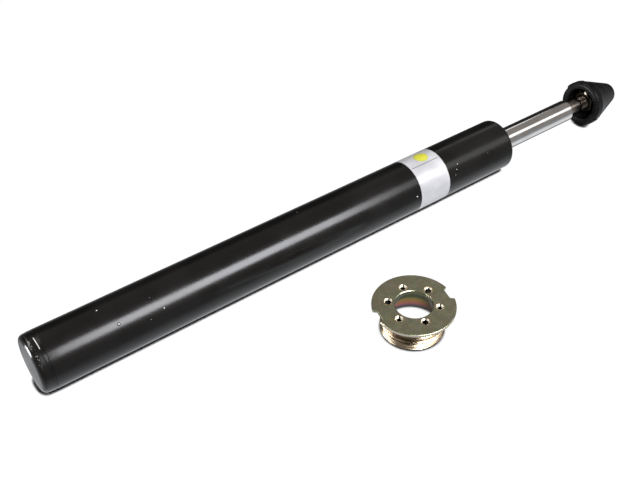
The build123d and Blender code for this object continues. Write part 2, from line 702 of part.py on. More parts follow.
# Ring nut: a flange over a threaded barrel, bored for the rod, with two kinds of pin-spanner
# holes set in turn round the flange and two notches in its rim.
flange_underside = ring_nut_height - ring_flange_thickness
with BuildPart() as ring_nut:
    with BuildSketch(ring_nut_profile) as ring_nut_section:
        with BuildLine():
            Polyline((ring_barrel_bore_radius, 0), (ring_thread_radius - ring_barrel_lead, 0),
                     (ring_thread_radius, ring_barrel_lead),
                     (ring_thread_radius, flange_underside - ring_thread_relief_height),
                     (ring_thread_radius - ring_thread_relief,
                      flange_underside - ring_thread_relief_height + ring_thread_relief),
                     (ring_thread_radius - ring_thread_relief, flange_underside),
                     (ring_flange_radius, flange_underside), (ring_flange_radius, ring_nut_height),
                     (ring_bore_radius + ring_bore_chamfer, ring_nut_height),
                     (ring_bore_radius, ring_nut_height - ring_bore_chamfer),
                     (ring_bore_radius, ring_nut_height - ring_plate_thickness),
                     (ring_barrel_bore_radius, ring_nut_height - ring_plate_thickness), close=True)
        make_face()
        flange_rim_corners = ring_nut_section.vertices().sort_by(Axis.X)[-2:]
        fillet(flange_rim_corners, radius=ring_flange_round)
    revolve(axis=ring_nut_axis)
    with BuildSketch(ring_nut_base.offset(flange_underside)):
        with PolarLocations(ring_flange_radius, flange_notch_count, start_angle=flange_notch_angle):
            Rectangle(2 * flange_notch_depth, flange_notch_width)
    extrude(amount=ring_flange_thickness, mode=Mode.SUBTRACT)
    with Locations(ring_nut_base.offset(ring_nut_height)):
        with PolarLocations(pin_hole_circle, pin_hole_count, start_angle=pin_hole_start):
            CounterSinkHole(large_pin_hole_radius, large_pin_sink_radius, ring_plate_thickness,
                            pin_sink_angle)
        with PolarLocations(pin_hole_circle, pin_hole_count,
                            start_angle=pin_hole_start + 180 / pin_hole_count):
            CounterSinkHole(small_pin_hole_radius, small_pin_sink_radius, ring_plate_thickness,
                            pin_sink_angle)
ring_nut.part.label = "ring_nut"
export_step(ring_nut.part, "parts/ring_nut.step")
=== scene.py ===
# %% [markdown]
# # A strut insert and its ring nut
# The object is a closed damper cartridge: a satin black tube, a silver label, a bright chromed rod
# with a nut and a loose rubber cap on its end, and a yellow-zinc ring nut lying beside it.
# The solid model comes in first and stays fixed. Every piece made here is set out in metres in
# the same place as its solid, so nothing has to be fitted by eye.

# %% Load the solid model
import json
import math
from functools import reduce

import bmesh
import bpy
import numpy as np
from mathutils import Matrix, Vector


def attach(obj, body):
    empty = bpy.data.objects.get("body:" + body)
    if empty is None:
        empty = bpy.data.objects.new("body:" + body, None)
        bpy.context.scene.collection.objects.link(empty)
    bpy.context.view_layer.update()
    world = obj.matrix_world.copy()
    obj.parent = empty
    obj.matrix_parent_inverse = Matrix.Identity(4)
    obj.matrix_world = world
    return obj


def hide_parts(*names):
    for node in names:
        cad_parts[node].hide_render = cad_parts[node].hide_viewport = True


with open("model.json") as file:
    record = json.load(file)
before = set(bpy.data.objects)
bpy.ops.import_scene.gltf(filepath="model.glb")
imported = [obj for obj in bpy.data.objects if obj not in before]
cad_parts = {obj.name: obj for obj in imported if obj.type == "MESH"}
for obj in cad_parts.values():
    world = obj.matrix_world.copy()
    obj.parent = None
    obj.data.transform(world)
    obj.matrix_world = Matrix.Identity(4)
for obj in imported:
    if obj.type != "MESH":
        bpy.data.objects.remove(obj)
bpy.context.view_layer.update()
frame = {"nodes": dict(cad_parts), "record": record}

# %% [markdown]
# ## The camera
# The view was found from the straight edges of the tube and the two round openings. The camera
# stands in front of the strut's closed end and looks down at 41 degrees, a little across it.
# Its direction is built from a turn about the upright axis, a tilt and a very small roll, which
# are easier to read than a quaternion.

# %% Camera
camera_place = (-0.0940, -0.5060, 0.5303)
camera_turn, camera_tilt, camera_roll = math.radians(36.08), math.radians(41.06), math.radians(-0.29)

lens = bpy.data.cameras.new("view_camera")
lens.lens = 51.41
lens.sensor_width = 36.0
lens.clip_start, lens.clip_end = 0.02, 30.0
camera = bpy.data.objects.new("view_camera", lens)
bpy.context.scene.collection.objects.link(camera)
camera.location = camera_place
camera.rotation_mode = "QUATERNION"
camera.rotation_quaternion = (
    Matrix.Rotation(-camera_turn, 4, "Z")
    @ Matrix.Rotation(math.radians(90) - camera_tilt, 4, "X")
    @ Matrix.Rotation(camera_roll, 4, "Z")
).to_quaternion()
bpy.context.scene.camera = camera
print("camera looks along", [round(v, 3) for v in camera.rotation_quaternion @ Vector((0, 0, -1))])

# %% [markdown]
# ## Surfaces from arrays
# Almost everything on this object was turned on a lathe, so most pieces are an outline carried
# round an axis. Two small helpers prepare the outline: one rounds its corners, because no real
# edge is perfectly sharp and a round edge is what catches the light, and one adds points along
# the straight runs. A third turns rows and columns of points into one closed mesh.

# %% Outline helpers
def rounded(corners, cuts, steps=6):
    """Rounds the corners of an outline given as (along, out) points.

    Each corner C is cut back by its own length c along both of its runs, to P and Q, and bridged
    by the curve (1 - t)^2 P + 2 t (1 - t) C + t^2 Q with t from 0 to 1. A cut of 0 keeps a corner.
    """
    corners = np.asarray(corners, float)
    cuts = np.asarray(cuts, float)[:, None]
    back = np.roll(corners, 1, axis=0) - corners
    ahead = np.roll(corners, -1, axis=0) - corners
    start = corners + cuts * back / np.linalg.norm(back, axis=1, keepdims=True)
    end = corners + cuts * ahead / np.linalg.norm(ahead, axis=1, keepdims=True)
    t = np.linspace(0, 1, steps)[None, :, None]
    curve = (1 - t) ** 2 * start[:, None] + 2 * t * (1 - t) * corners[:, None] + t**2 * end[:, None]
    return curve.reshape(-1, 2)


def spread(outline, step):
    """Adds points so that no run is longer than step, by reading both coordinates against the
    distance along the outline."""
    run = np.hypot(*np.diff(outline, axis=0).T)
    along = np.concatenate([[0.0], np.cumsum(run)])
    at = np.unique(np.concatenate([along, np.arange(0, along[-1], step)]))
    return np.stack([np.interp(at, along, outline[:, 0]), np.interp(at, along, outline[:, 1])], axis=1)


def turned(outline, angles, place=(0, 0, 0), axis=(1, 0, 0), side=(0, 1, 0)):
    """Carries an outline of (along, out) points round an axis.

    The point at angle a is place + along * axis + out * (cos(a) * side + sin(a) * axis x side).
    out may also be a whole grid, one row per outline point and one column per angle.
    """
    place, axis, side = (np.asarray(v, float) for v in (place, axis, side))
    along, out = outline if isinstance(outline, tuple) else (outline[:, :1], outline[:, 1:])
    around = np.cos(angles)[:, None] * side + np.sin(angles)[:, None] * np.cross(axis, side)
    return place + along[..., None] * axis + out[..., None] * around[None]


print("a rounded square has", len(rounded([(0, 0), (1, 0), (1, 1), (0, 1)], [0.1] * 4)), "points")

# %% Mesh helper
def piece(name, grids, material, body, stands_for, sharp=40):
    """Joins grids of points (rows, columns, 3) into one closed mesh that faces outwards.

    Each cell of a grid becomes a four-sided face. Points that fall together, at a seam, at a pole
    or where two grids meet, are merged, and then the faces are turned to point outwards.
    """
    corners, faces, first = [], [], 0
    for grid in grids:
        rows, columns = grid.shape[:2]
        number = np.arange(rows * columns).reshape(rows, columns) + first
        faces.append(np.stack([number[:-1, :-1], number[:-1, 1:], number[1:, 1:], number[1:, :-1]],
                              axis=-1).reshape(-1, 4))
        corners.append(grid.reshape(-1, 3))
        first += rows * columns
    mesh = bpy.data.meshes.new(name)
    mesh.from_pydata(np.concatenate(corners), [], np.concatenate(faces))
    work = bmesh.new()
    work.from_mesh(mesh)
    bmesh.ops.remove_doubles(work, verts=work.verts, dist=2e-6)
    bmesh.ops.dissolve_degenerate(work, edges=work.edges, dist=1e-7)
    bmesh.ops.recalc_face_normals(work, faces=work.faces)
    open_edges = sum(1 for edge in work.edges if not edge.is_manifold)
    work.to_mesh(mesh)
    work.free()
    mesh.shade_smooth()
    mesh.set_sharp_from_angle(angle=math.radians(sharp))
    mesh.materials.append(material)
    shape = bpy.data.objects.new(name, mesh)
    bpy.context.scene.collection.objects.link(shape)
    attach(shape, body)
    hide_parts(*stands_for)
    print(name, "has", len(mesh.polygons), "faces and", open_edges, "open edges")
    return shape


# %% Thread, hexagon and fade
def screw_ridge(along, angles, pitch):
    """Height of a screw thread from 0 in its root to 1 on its crest.

    With u the fraction of along / pitch - angle / (2 pi), the ridge rises and falls in straight
    flanks: 1.2 - 1.6 |2 u - 1|, held between 0 and 1. That leaves a flat crest an eighth of the
    pitch wide and a flat root of a quarter, as on a metric thread.
    """
    turn = along / pitch - angles / (2 * np.pi)
    return np.clip(1.2 - 1.6 * np.abs(2 * (turn - np.floor(turn)) - 1), 0, 1)


def hexagon(flats, angles):
    """Radius of a hexagon that measures flats across its sides.

    With a the angle to the middle of the nearest side, it is flats / 2 / cos(a).
    """
    return flats / 2 / np.cos((angles + np.pi / 6) % (np.pi / 3) - np.pi / 6)


def fade(value, start, end):
    """0 before start, 1 after end, and 3 t^2 - 2 t^3 between them."""
    t = np.clip((value - start) / (end - start), 0, 1)
    return t * t * (3 - 2 * t)


print("a fade is at", fade(0.25, 0, 1), "a quarter of the way")

# %% [markdown]
# ## Shared surface effects
# Dust, fine scratches and mottled metal turn up on several finishes, so each is a node group that
# is built once and placed in each material with its own numbers. A group puts out only a mask, a
# value or a colour. The shader stays in the material, where it can be read at a glance.

# %% Node helpers
def feed(tree, node, inputs):
    """Links each named or numbered input to a socket, or sets it to a number, place or colour."""
    for key, value in inputs.items():
        if isinstance(value, bpy.types.NodeSocket):
            tree.links.new(value, node.inputs[key])
        else:
            node.inputs[key].default_value = value
    return node


def wire(tree, kind, **settings):
    """Adds a node, sets its properties by name and feeds its inputs."""
    node = tree.nodes.new(kind)
    inputs = settings.pop("inputs", {})
    for key, value in settings.items():
        setattr(node, key, value)
    return feed(tree, node, inputs)


def math_node(tree, operation, *values, clamp=False):
    """One arithmetic step; gives its result socket."""
    return wire(tree, "ShaderNodeMath", operation=operation, use_clamp=clamp,
                inputs=dict(enumerate(values))).outputs[0]


def vector_node(tree, operation, *values):
    """One step with places or directions; gives a vector, or a number for a length or a product."""
    node = wire(tree, "ShaderNodeVectorMath", operation=operation, inputs=dict(enumerate(values)))
    return node.outputs["Value" if operation in ("DISTANCE", "DOT_PRODUCT", "LENGTH") else "Vector"]


def product(tree, *values):
    """Multiplies masks or numbers, so that a point counts only where every mask does."""
    return reduce(lambda first, second: math_node(tree, "MULTIPLY", first, second), values)


def largest(tree, *values):
    """Takes the largest of some masks, so that a point counts where any of them does."""
    return reduce(lambda first, second: math_node(tree, "MAXIMUM", first, second), values)


def apart(tree, value, middle):
    """How far a value lies from a middle, on either side."""
    return math_node(tree, "ABSOLUTE", math_node(tree, "SUBTRACT", value, middle))


def diagonal(tree, first, second):
    """The square root of a^2 + b^2: the distance that two sides of a right angle make."""
    squares = (math_node(tree, "POWER", side, 2.0) for side in (first, second))
    return math_node(tree, "SQRT", math_node(tree, "ADD", *squares))


def split(tree, vector):
    """The three numbers of a place or a direction."""
    return wire(tree, "ShaderNodeSeparateXYZ", inputs={0: vector}).outputs


def between(tree, value, low, high, start=0.0, end=1.0):
    """Maps low..high to start..end in a smooth step."""
    return wire(tree, "ShaderNodeMapRange", interpolation_type="SMOOTHSTEP",
                inputs={"Value": value, "From Min": low, "From Max": high, "To Min": start,
                        "To Max": end}).outputs["Result"]


def noise(tree, place, scale, detail, roughness=0.5, distortion=0.0):
    """Smooth noise that wanders about a half."""
    return wire(tree, "ShaderNodeTexNoise",
                inputs={"Vector": place, "Scale": scale, "Detail": detail, "Roughness": roughness,
                        "Distortion": distortion}).outputs[0]


def mixed(tree, amount, first, second, blend="MIX"):
    """Mixes two colours by a mask. The node keeps its colours in inputs 6 and 7 and output 2."""
    return wire(tree, "ShaderNodeMix", data_type="RGBA", blend_type=blend,
                inputs={0: amount, 6: first, 7: second}).outputs[2]


def layered(tree, tint, *layers):
    """Lays colours over a tint, one after the other, each by its own mask."""
    for mask, colour in layers:
        tint = mixed(tree, mask, tint, (*colour, 1))
    return tint


def colour_ramp(tree, value, stops, interpolation="LINEAR"):
    """Reads a value off a ramp of (place, colour) stops."""
    ramp = wire(tree, "ShaderNodeValToRGB", inputs={"Fac": value})
    ramp.color_ramp.interpolation = interpolation
    for stop, _ in stops[1:-1]:
        ramp.color_ramp.elements.new(stop)
    for element, (stop, colour) in zip(ramp.color_ramp.elements, stops):
        element.position = stop
        element.color = (*colour, 1)
    return ramp.outputs[0]


def effect(name, takes, gives):
    """Starts a node group with named inputs and outputs, and gives the tree, its inputs and the
    node that its results go into."""
    tree = bpy.data.node_groups.new(name, "ShaderNodeTree")
    for label, kind, value in takes:
        socket = tree.interface.new_socket(label, in_out="INPUT", socket_type=kind)
        if value is not None:
            socket.default_value = value
    for label, kind in gives:
        tree.interface.new_socket(label, in_out="OUTPUT", socket_type=kind)
    return tree, tree.nodes.new("NodeGroupInput").outputs, tree.nodes.new("NodeGroupOutput").inputs


# %% Dust specks
FLOAT, VECTOR, COLOUR = "NodeSocketFloat", "NodeSocketVector", "NodeSocketColor"

dust, takes, gives = effect(
    "dust_specks",
    [("Place", VECTOR, None), ("Cells", FLOAT, 300.0), ("Size", FLOAT, 0.1), ("Share", FLOAT, 0.1)],
    [("Mask", FLOAT)])
cells = wire(dust, "ShaderNodeTexVoronoi", inputs={"Vector": takes["Place"], "Scale": takes["Cells"]})
lot = wire(dust, "ShaderNodeSeparateColor", inputs={"Color": cells.outputs["Color"]})
picked = math_node(dust, "LESS_THAN", lot.outputs[0], takes["Share"])
speck_size = product(dust, lot.outputs[1], takes["Size"])
away = math_node(dust, "DIVIDE", cells.outputs["Distance"], speck_size)
near = math_node(dust, "SUBTRACT", 1.0, away, clamp=True)
dust.links.new(product(dust, picked, between(dust, near, 0.0, 0.35)), gives["Mask"])
print("dust group takes", [s.name for s in dust.interface.items_tree if s.in_out == "INPUT"])

# %% Fine scratches
scuffs, takes, gives = effect(
    "fine_scratches",
    [("Place", VECTOR, None), ("Stretch", VECTOR, (1, 1, 1)), ("Scale", FLOAT, 400.0),
     ("Amount", FLOAT, 0.3)],
    [("Mask", FLOAT)])
drawn = vector_node(scuffs, "MULTIPLY", takes["Place"], takes["Stretch"])
lines = noise(scuffs, drawn, takes["Scale"], 3.0, 0.7)
patches = noise(scuffs, takes["Place"], 40.0, 2.0)
lowest = math_node(scuffs, "SUBTRACT", 0.78, product(scuffs, takes["Amount"], 0.3))
both = math_node(scuffs, "ADD", product(scuffs, lines, 0.8), product(scuffs, patches, 0.2))
scuffs.links.new(between(scuffs, both, lowest, math_node(scuffs, "ADD", lowest, 0.06)), gives["Mask"])
print("scratch group has", len(scuffs.nodes), "nodes")

# %% Mottle
mottle, takes, gives = effect(
    "mottle", [("Place", VECTOR, None), ("Scale", FLOAT, 60.0), ("Fine", FLOAT, 900.0)],
    [("Broad", FLOAT), ("Grain", FLOAT)])
broad = noise(mottle, takes["Place"], takes["Scale"], 4.0, 0.55)
mottle.links.new(between(mottle, broad, 0.32, 0.68), gives["Broad"])
mottle.links.new(noise(mottle, takes["Place"], takes["Fine"], 3.0, 0.6), gives["Grain"])
print("mottle group has", len(mottle.nodes), "nodes")

# %% Yellow chromate film
# A chromate film is so thin that its colour changes with its thickness, from straw through pink
# to green. The film's thickness is a smooth noise here, and a colour ramp reads it.
film, takes, gives = effect(
    "chromate_film", [("Place", VECTOR, None), ("Scale", FLOAT, 45.0), ("Shift", FLOAT, 0.0)],
    [("Color", COLOUR)])
swirl = noise(film, takes["Place"], takes["Scale"], 5.0, 0.68, 1.2)
thickness = math_node(film, "ADD", between(film, swirl, 0.32, 0.68), takes["Shift"])
film_colours = [(0.0, (0.72, 0.56, 0.26)), (0.22, (0.50, 0.52, 0.26)), (0.42, (0.34, 0.52, 0.34)),
                (0.6, (0.50, 0.51, 0.37)), (0.78, (0.58, 0.40, 0.42)), (1.0, (0.70, 0.58, 0.26))]
film.links.new(colour_ramp(film, thickness, film_colours, "B_SPLINE"), gives["Color"])
print("film colours:", len(film_colours))

# %% Material helper
def finish_of(name, **shader_values):
    """Starts a material and gives its tree, its shader and its Object coordinates."""
    material = bpy.data.materials.new(name)
    material.use_nodes = True
    tree = material.node_tree
    shader = tree.nodes["Principled BSDF"]
    for key, value in shader_values.items():
        shader.inputs[key.replace("_", " ")].default_value = value
    return material, tree, shader, tree.nodes.new("ShaderNodeTexCoord").outputs["Object"]


def place_group(tree, group, **inputs):
    """Places a shared effect in a material with its own values."""
    return feed(tree, wire(tree, "ShaderNodeGroup", node_tree=group), inputs).outputs


def surface(tree, shader, tint, gloss, height, distance):
    """Feeds a colour, a roughness and a bump into the shader; distance is the bump's real height."""
    tree.links.new(tint, shader.inputs["Base Color"])
    tree.links.new(gloss, shader.inputs["Roughness"])
    bump = wire(tree, "ShaderNodeBump", inputs={"Height": height, "Distance": distance, "Strength": 1.0})
    tree.links.new(bump.outputs[0], shader.inputs["Normal"])


# %% [markdown]
# ## Black paint on the tube
# The tube is sprayed satin black. Up close the paint has a faint orange peel, fine pale scuffs
# along the tube where it was handled, a few specks of light dust, and a dotted line of chips where
# the rim of the closed end was knocked. Six larger knocks have a bare middle and a dull ring round
# it. Two edges near the closed end carry a thin painted highlight: a light line in the colour, on
# their upper side only. The base colour stays very dark, so nearly all of what is seen is the soft
# reflection of the lights.

# %% Black paint
tube_radius = 0.025
rim_edge, rim_band, chips_low, chips_high = 0.0038, 0.0013, 0.010, 0.018
# Each knock has its distance along the tube, its angle round it in degrees, and its size.
knocks = [(0.0690, 134.8, 0.00055), (0.0594, 92.7, 0.00040), (0.4223, 138.2, 0.00035),
          (0.3686, 165.3, 0.00045), (0.4195, 148.0, 0.00025), (0.4170, 158.0, 0.00025)]
# Each painted highlight line on an edge has its distance along the tube, half its width, and where it starts
# and ends across.
painted_edge_highlights = [(0.0005, 0.00030, -0.0105, -0.0010), (0.0083, 0.00028, -0.0098, 0.0004)]
highlight_fade, highlight_low, highlight_high = 0.0012, 0.010, 0.012
# A knock is bare out to its size and flaked out to about twice its size, each with a soft edge.
bare_edge, flaked_edge, flaked_full = 1.3, 2.6, 2.1

black_paint, tree, shader, place = finish_of("black_paint", IOR=1.42)
rubs = place_group(tree, scuffs, Place=place, Stretch=(0.06, 1, 1), Scale=900.0, Amount=0.30)["Mask"]
specks = place_group(tree, dust, Place=place, Cells=150.0, Size=0.09, Share=0.14)["Mask"]
chips = place_group(tree, dust, Place=place, Cells=1700.0, Size=0.52, Share=0.50)["Mask"]
clouds = place_group(tree, mottle, Place=place, Scale=26.0, Fine=1900.0)
axes = split(tree, place)
chips = product(tree, chips, between(tree, apart(tree, axes[0], rim_edge), rim_band, rim_band * 0.4),
                between(tree, axes[2], chips_low, chips_high))
bare, flaked = 0.0, 0.0
for along, turn, size in knocks:
    around = (math.cos(math.radians(turn)), math.sin(math.radians(turn)))
    away = vector_node(tree, "DISTANCE", place, (along, tube_radius * around[0], tube_radius * around[1]))
    bare = largest(tree, bare, between(tree, away, size * bare_edge, size))
    flaked = largest(tree, flaked, between(tree, away, size * flaked_edge, size * flaked_full))
tint = mixed(tree, clouds["Broad"], (0.0035, 0.0033, 0.0030, 1), (0.0060, 0.0056, 0.0052, 1))
tint = layered(tree, tint, (product(tree, rubs, 0.16), (0.10, 0.10, 0.10)), (specks, (0.62, 0.62, 0.60)),
               (chips, (0.55, 0.54, 0.52)), (bare, (0.85, 0.85, 0.85)))
# Painted highlights: thin light lines on the rim's round and on the step, kept to the upper side.
for edge, half, start, end in painted_edge_highlights:
    painted_line = product(tree, between(tree, apart(tree, axes[0], edge), half * 1.5, half * 0.6),
                     between(tree, axes[1], start - highlight_fade, start),
                     between(tree, axes[1], end + highlight_fade, end),
                     between(tree, axes[2], highlight_low, highlight_high))
    tint = layered(tree, tint, (painted_line, (0.62, 0.62, 0.62)))
gloss = between(tree, clouds["Broad"], 0.0, 1.0, 0.20, 0.25)
gloss = math_node(tree, "ADD", gloss, product(tree, flaked, 0.7))
surface(tree, shader, tint, gloss, clouds["Grain"], 0.000012)
print("black paint has", len(knocks), "knocks and", len(painted_edge_highlights), "painted edge highlights")

# %% [markdown]
# ## Metals and polymer
# Hard chrome is ground and polished, which leaves rings too fine to count. Plain steel is duller
# and slightly brown under its oil. Steel, sintered iron, bronze and the piston ring's polymer are
# one recipe with different numbers: a colour and a gloss that wander between two values. The
# yellow zinc of the nuts reads the film group.

# %% Hard chrome
hard_chrome, tree, shader, place = finish_of("hard_chrome", Metallic=1.0)
rings = place_group(tree, scuffs, Place=place, Stretch=(1, 0.03, 0.03), Scale=5200.0, Amount=0.55)["Mask"]
clouds = place_group(tree, mottle, Place=place, Scale=70.0, Fine=3000.0)
tint = mixed(tree, clouds["Broad"], (0.64, 0.63, 0.62, 1), (0.72, 0.71, 0.70, 1))
gloss = math_node(tree, "ADD", between(tree, clouds["Broad"], 0, 1, 0.09, 0.14), product(tree, rings, 0.08))
surface(tree, shader, tint, gloss, rings, 0.000002)
print("hard chrome has", len(tree.nodes), "nodes")

# %% Plain steel
def grained(name, dark, light, low, high, scale=90.0, fine=2200.0, height=0.00001, metallic=1.0,
            darker_from=None):
    """A finish whose colour and gloss wander between two values, with a fine grain. Past the place
    given last, along the strut, the colour turns much darker, over the thread."""
    material, tree, shader, place = finish_of(name, Metallic=metallic)
    clouds = place_group(tree, mottle, Place=place, Scale=scale, Fine=fine)
    tint = mixed(tree, clouds["Broad"], (*dark, 1), (*light, 1))
    if darker_from is not None:
        darkening = between(tree, split(tree, place)[0], darker_from, darker_from + 0.003, 0.0, 0.85)
        tint = layered(tree, tint, (darkening, (0.05, 0.04, 0.03)))
    surface(tree, shader, tint, between(tree, clouds["Broad"], 0, 1, low, high), clouds["Grain"], height)
    return material


plain_steel = grained("plain_steel", (0.26, 0.25, 0.24), (0.42, 0.41, 0.40), 0.24, 0.42)
shank_steel = grained("shank_steel", (0.25, 0.215, 0.185), (0.33, 0.29, 0.26), 0.22, 0.30,
                      scale=160.0, height=0.000004, darker_from=0.609)
sintered_iron = grained("sintered_iron", (0.13, 0.13, 0.135), (0.22, 0.22, 0.225), 0.45, 0.65, height=0.00003)
lined_bronze = grained("lined_bronze", (0.30, 0.19, 0.10), (0.46, 0.30, 0.17), 0.30, 0.45)
ring_polymer = grained("ring_polymer", (0.10, 0.065, 0.04), (0.17, 0.12, 0.08), 0.38, 0.5,
                       scale=120.0, fine=2500.0, metallic=0.0)
print("grained finishes:", plain_steel.name, shank_steel.name, sintered_iron.name, lined_bronze.name,
      ring_polymer.name)

# %% [markdown]
# ## Yellow zinc
# The ring nut and the lock nut are plated with zinc and dipped in chromate. Broad patches and a
# fine speckle both read the film group. A function for each nut works out, from the nut's own
# shape, where the film is thick and where light and shade are painted into the colour: painted
# highlights on the ring nut's countersinks and rim, painted shade in its holes and on the shaded
# side of its barrel, and on the lock nut a painted shade all over with a few painted glints. The
# ring nut's masks come from the distance to its axis, the height above its foot and the distance
# to the nearest hole.

# %% Ring nut sizes
nut_centre = (0.2778, -0.1252, -0.02512)
flange_radius, flange_top, flange_under = 0.0348, 0.0268, 0.0242
barrel_radius, barrel_bore, plate_under = 0.027, 0.024, 0.0202
nut_bore, relief_radius, relief_low, thread_top = 0.0155, 0.0258, 0.0218, 0.0206
hole_circle, sector_outer, sector_inner = 0.0211, 0.0262, 0.0176
hole_count, first_hole = 6, math.radians(15)
hole_step = 2 * math.pi / hole_count
hole_sizes = ((0.0025, 0.0036), (0.0015, 0.0032))
(_, wide_sink), (small_hole, small_sink) = hole_sizes
print("pin holes of", [2000 * hole for hole, _ in hole_sizes], "mm")

# %% Yellow zinc
def zinc(name, patch, speckle, low, high, grain, film_and_light):
    """Zinc under a chromate film, with broad patches of colour and a fine speckle over them.

    The last argument is a function of the tree and the place. It gives a mask of where the film is
    thick or a shade is painted, the colour there, and a mask of painted highlights.
    """
    material, tree, shader, place = finish_of(name, Metallic=1.0)
    tone = place_group(tree, film, Place=place, Scale=patch, Shift=0.0)["Color"]
    fine = place_group(tree, film, Place=place, Scale=speckle, Shift=0.1)["Color"]
    clouds = place_group(tree, mottle, Place=place, Scale=180.0, Fine=grain)
    shades = place_group(tree, mottle, Place=place, Scale=1100.0, Fine=2600.0)["Broad"]
    worn = place_group(tree, scuffs, Place=place, Stretch=(1, 1, 0.4), Scale=900.0, Amount=0.35)["Mask"]
    film_and_shade, film_and_shade_tint, painted_highlight = film_and_light(tree, place)
    tint = mixed(tree, 0.65, tone, fine)
    tint = mixed(tree, shades, mixed(tree, 1.0, tint, (0.80, 0.82, 0.84, 1), "MULTIPLY"), tint)
    tint = layered(tree, tint, (product(tree, worn, 0.45), (0.70, 0.68, 0.58)))
    # The second mask lays the thick film and painted shade: nearly all of the lock nut and the ring nut's
    # holes. The third lays painted highlights on the countersinks, the rim and the lock nut's glints.
    tint = layered(tree, mixed(tree, film_and_shade, tint, film_and_shade_tint), (painted_highlight, (0.72, 0.68, 0.58)))
    gloss = between(tree, clouds["Broad"], 0, 1, low, high)
    gloss = math_node(tree, "ADD", gloss, product(tree, painted_highlight, 0.22))
    surface(tree, shader, tint, gloss, clouds["Grain"], 0.000014)
    return material


def stretched_noise(tree, place, stretch, scale):
    """Noise drawn out along the axes where stretch is small."""
    return noise(tree, vector_node(tree, "MULTIPLY", place, stretch), scale, 2.0)


# %% Film inside the ring nut
backward, sideways = (0.698, 0.716, 0.0), (0.716, -0.698, 0.0)
layer_colours = [(0.0, (0.04, 0.09, 0.06)), (0.08, (0.12, 0.08, 0.14)), (0.20, (0.46, 0.15, 0.14)),
                 (0.34, (0.50, 0.20, 0.08)), (0.46, (0.34, 0.25, 0.06)), (0.58, (0.08, 0.09, 0.05)),
                 (1.0, (0.08, 0.09, 0.05))]


def inside_tint(tree, off, height):
    """A film that changes colour with height, and is nearly black on the side that lies in shade."""
    layers = colour_ramp(tree, math_node(tree, "DIVIDE", height, plate_under), layer_colours)
    shaded = between(tree, vector_node(tree, "DOT_PRODUCT", off, sideways), 0.000, 0.016, 0.0, 0.92)
    return layered(tree, layers, (shaded, (0.03, 0.02, 0.015)))


print("film layers inside the nut:", len(layer_colours))

# %% Marks at the holes
def hole_marks(tree, off, out, height):
    """Masks for the painted highlight on the cones, for their thin orange edges and for the painted shade in
    the holes.

    The angle to the nearest hole times the distance out is the distance beside that hole, and
    with the distance past the hole circle it makes the reach from the hole's middle. A painted dark
    streak, a painted reflection, lies on the far side of each cone, from about 1.2 mm behind its
    middle outwards and about 0.6 mm to each side.
    """
    turn = split(tree, off)
    angle = math_node(tree, "ARCTAN2", turn[1], turn[0])
    step = math_node(tree, "PINGPONG", math_node(tree, "SUBTRACT", angle, first_hole), hole_step / 2)
    reach = diagonal(tree, product(tree, step, out), math_node(tree, "SUBTRACT", out, hole_circle))
    turned_on = math_node(tree, "ADD", angle, hole_step / 2 - first_hole)
    nearest = math_node(tree, "SNAP", turned_on, hole_step)
    nearest = math_node(tree, "ADD", nearest, first_hole)
    middle = wire(tree, "ShaderNodeCombineXYZ", inputs={
        0: product(tree, math_node(tree, "COSINE", nearest), hole_circle),
        1: product(tree, math_node(tree, "SINE", nearest), hole_circle)}).outputs[0]
    from_middle = vector_node(tree, "SUBTRACT", off, middle)
    behind, beside = (vector_node(tree, "DOT_PRODUCT", from_middle, way) for way in (backward, sideways))
    # A painted dark reflection on the far side of each cone.
    painted_dark_streak = product(tree, between(tree, behind, 0.0010, 0.0014),
                     between(tree, apart(tree, beside, 0.0002), 0.0008, 0.0004))

    in_cone = product(tree, between(tree, reach, wide_sink + 0.0001, wide_sink - 0.0002),
                      between(tree, reach, small_hole - 0.0002, small_hole + 0.0001),
                      between(tree, height, flange_top - 0.0014, flange_top - 0.0010))
    # The cones are painted as highlights, but for the dark streak.
    painted_highlight = product(tree, in_cone, math_node(tree, "SUBTRACT", 0.92, product(tree, painted_dark_streak, 0.9)))
    edge = product(tree, between(tree, reach, wide_sink + 0.0008, wide_sink + 0.0003),
                   between(tree, reach, small_sink + 0.0001, small_sink + 0.0003),
                   between(tree, height, flange_top - 0.0006, flange_top - 0.0002))
    # Painted shade on the walls of the holes.
    hole_shade = product(tree, between(tree, reach, small_sink, small_sink - 0.0003),
                      between(tree, height, flange_top - 0.0010, flange_top - 0.0014),
                      between(tree, height, plate_under - 0.0002, plate_under + 0.0001))
    return painted_highlight, edge, largest(tree, hole_shade, product(tree, painted_dark_streak, in_cone))


print("holes every", round(math.degrees(hole_step)), "degrees")

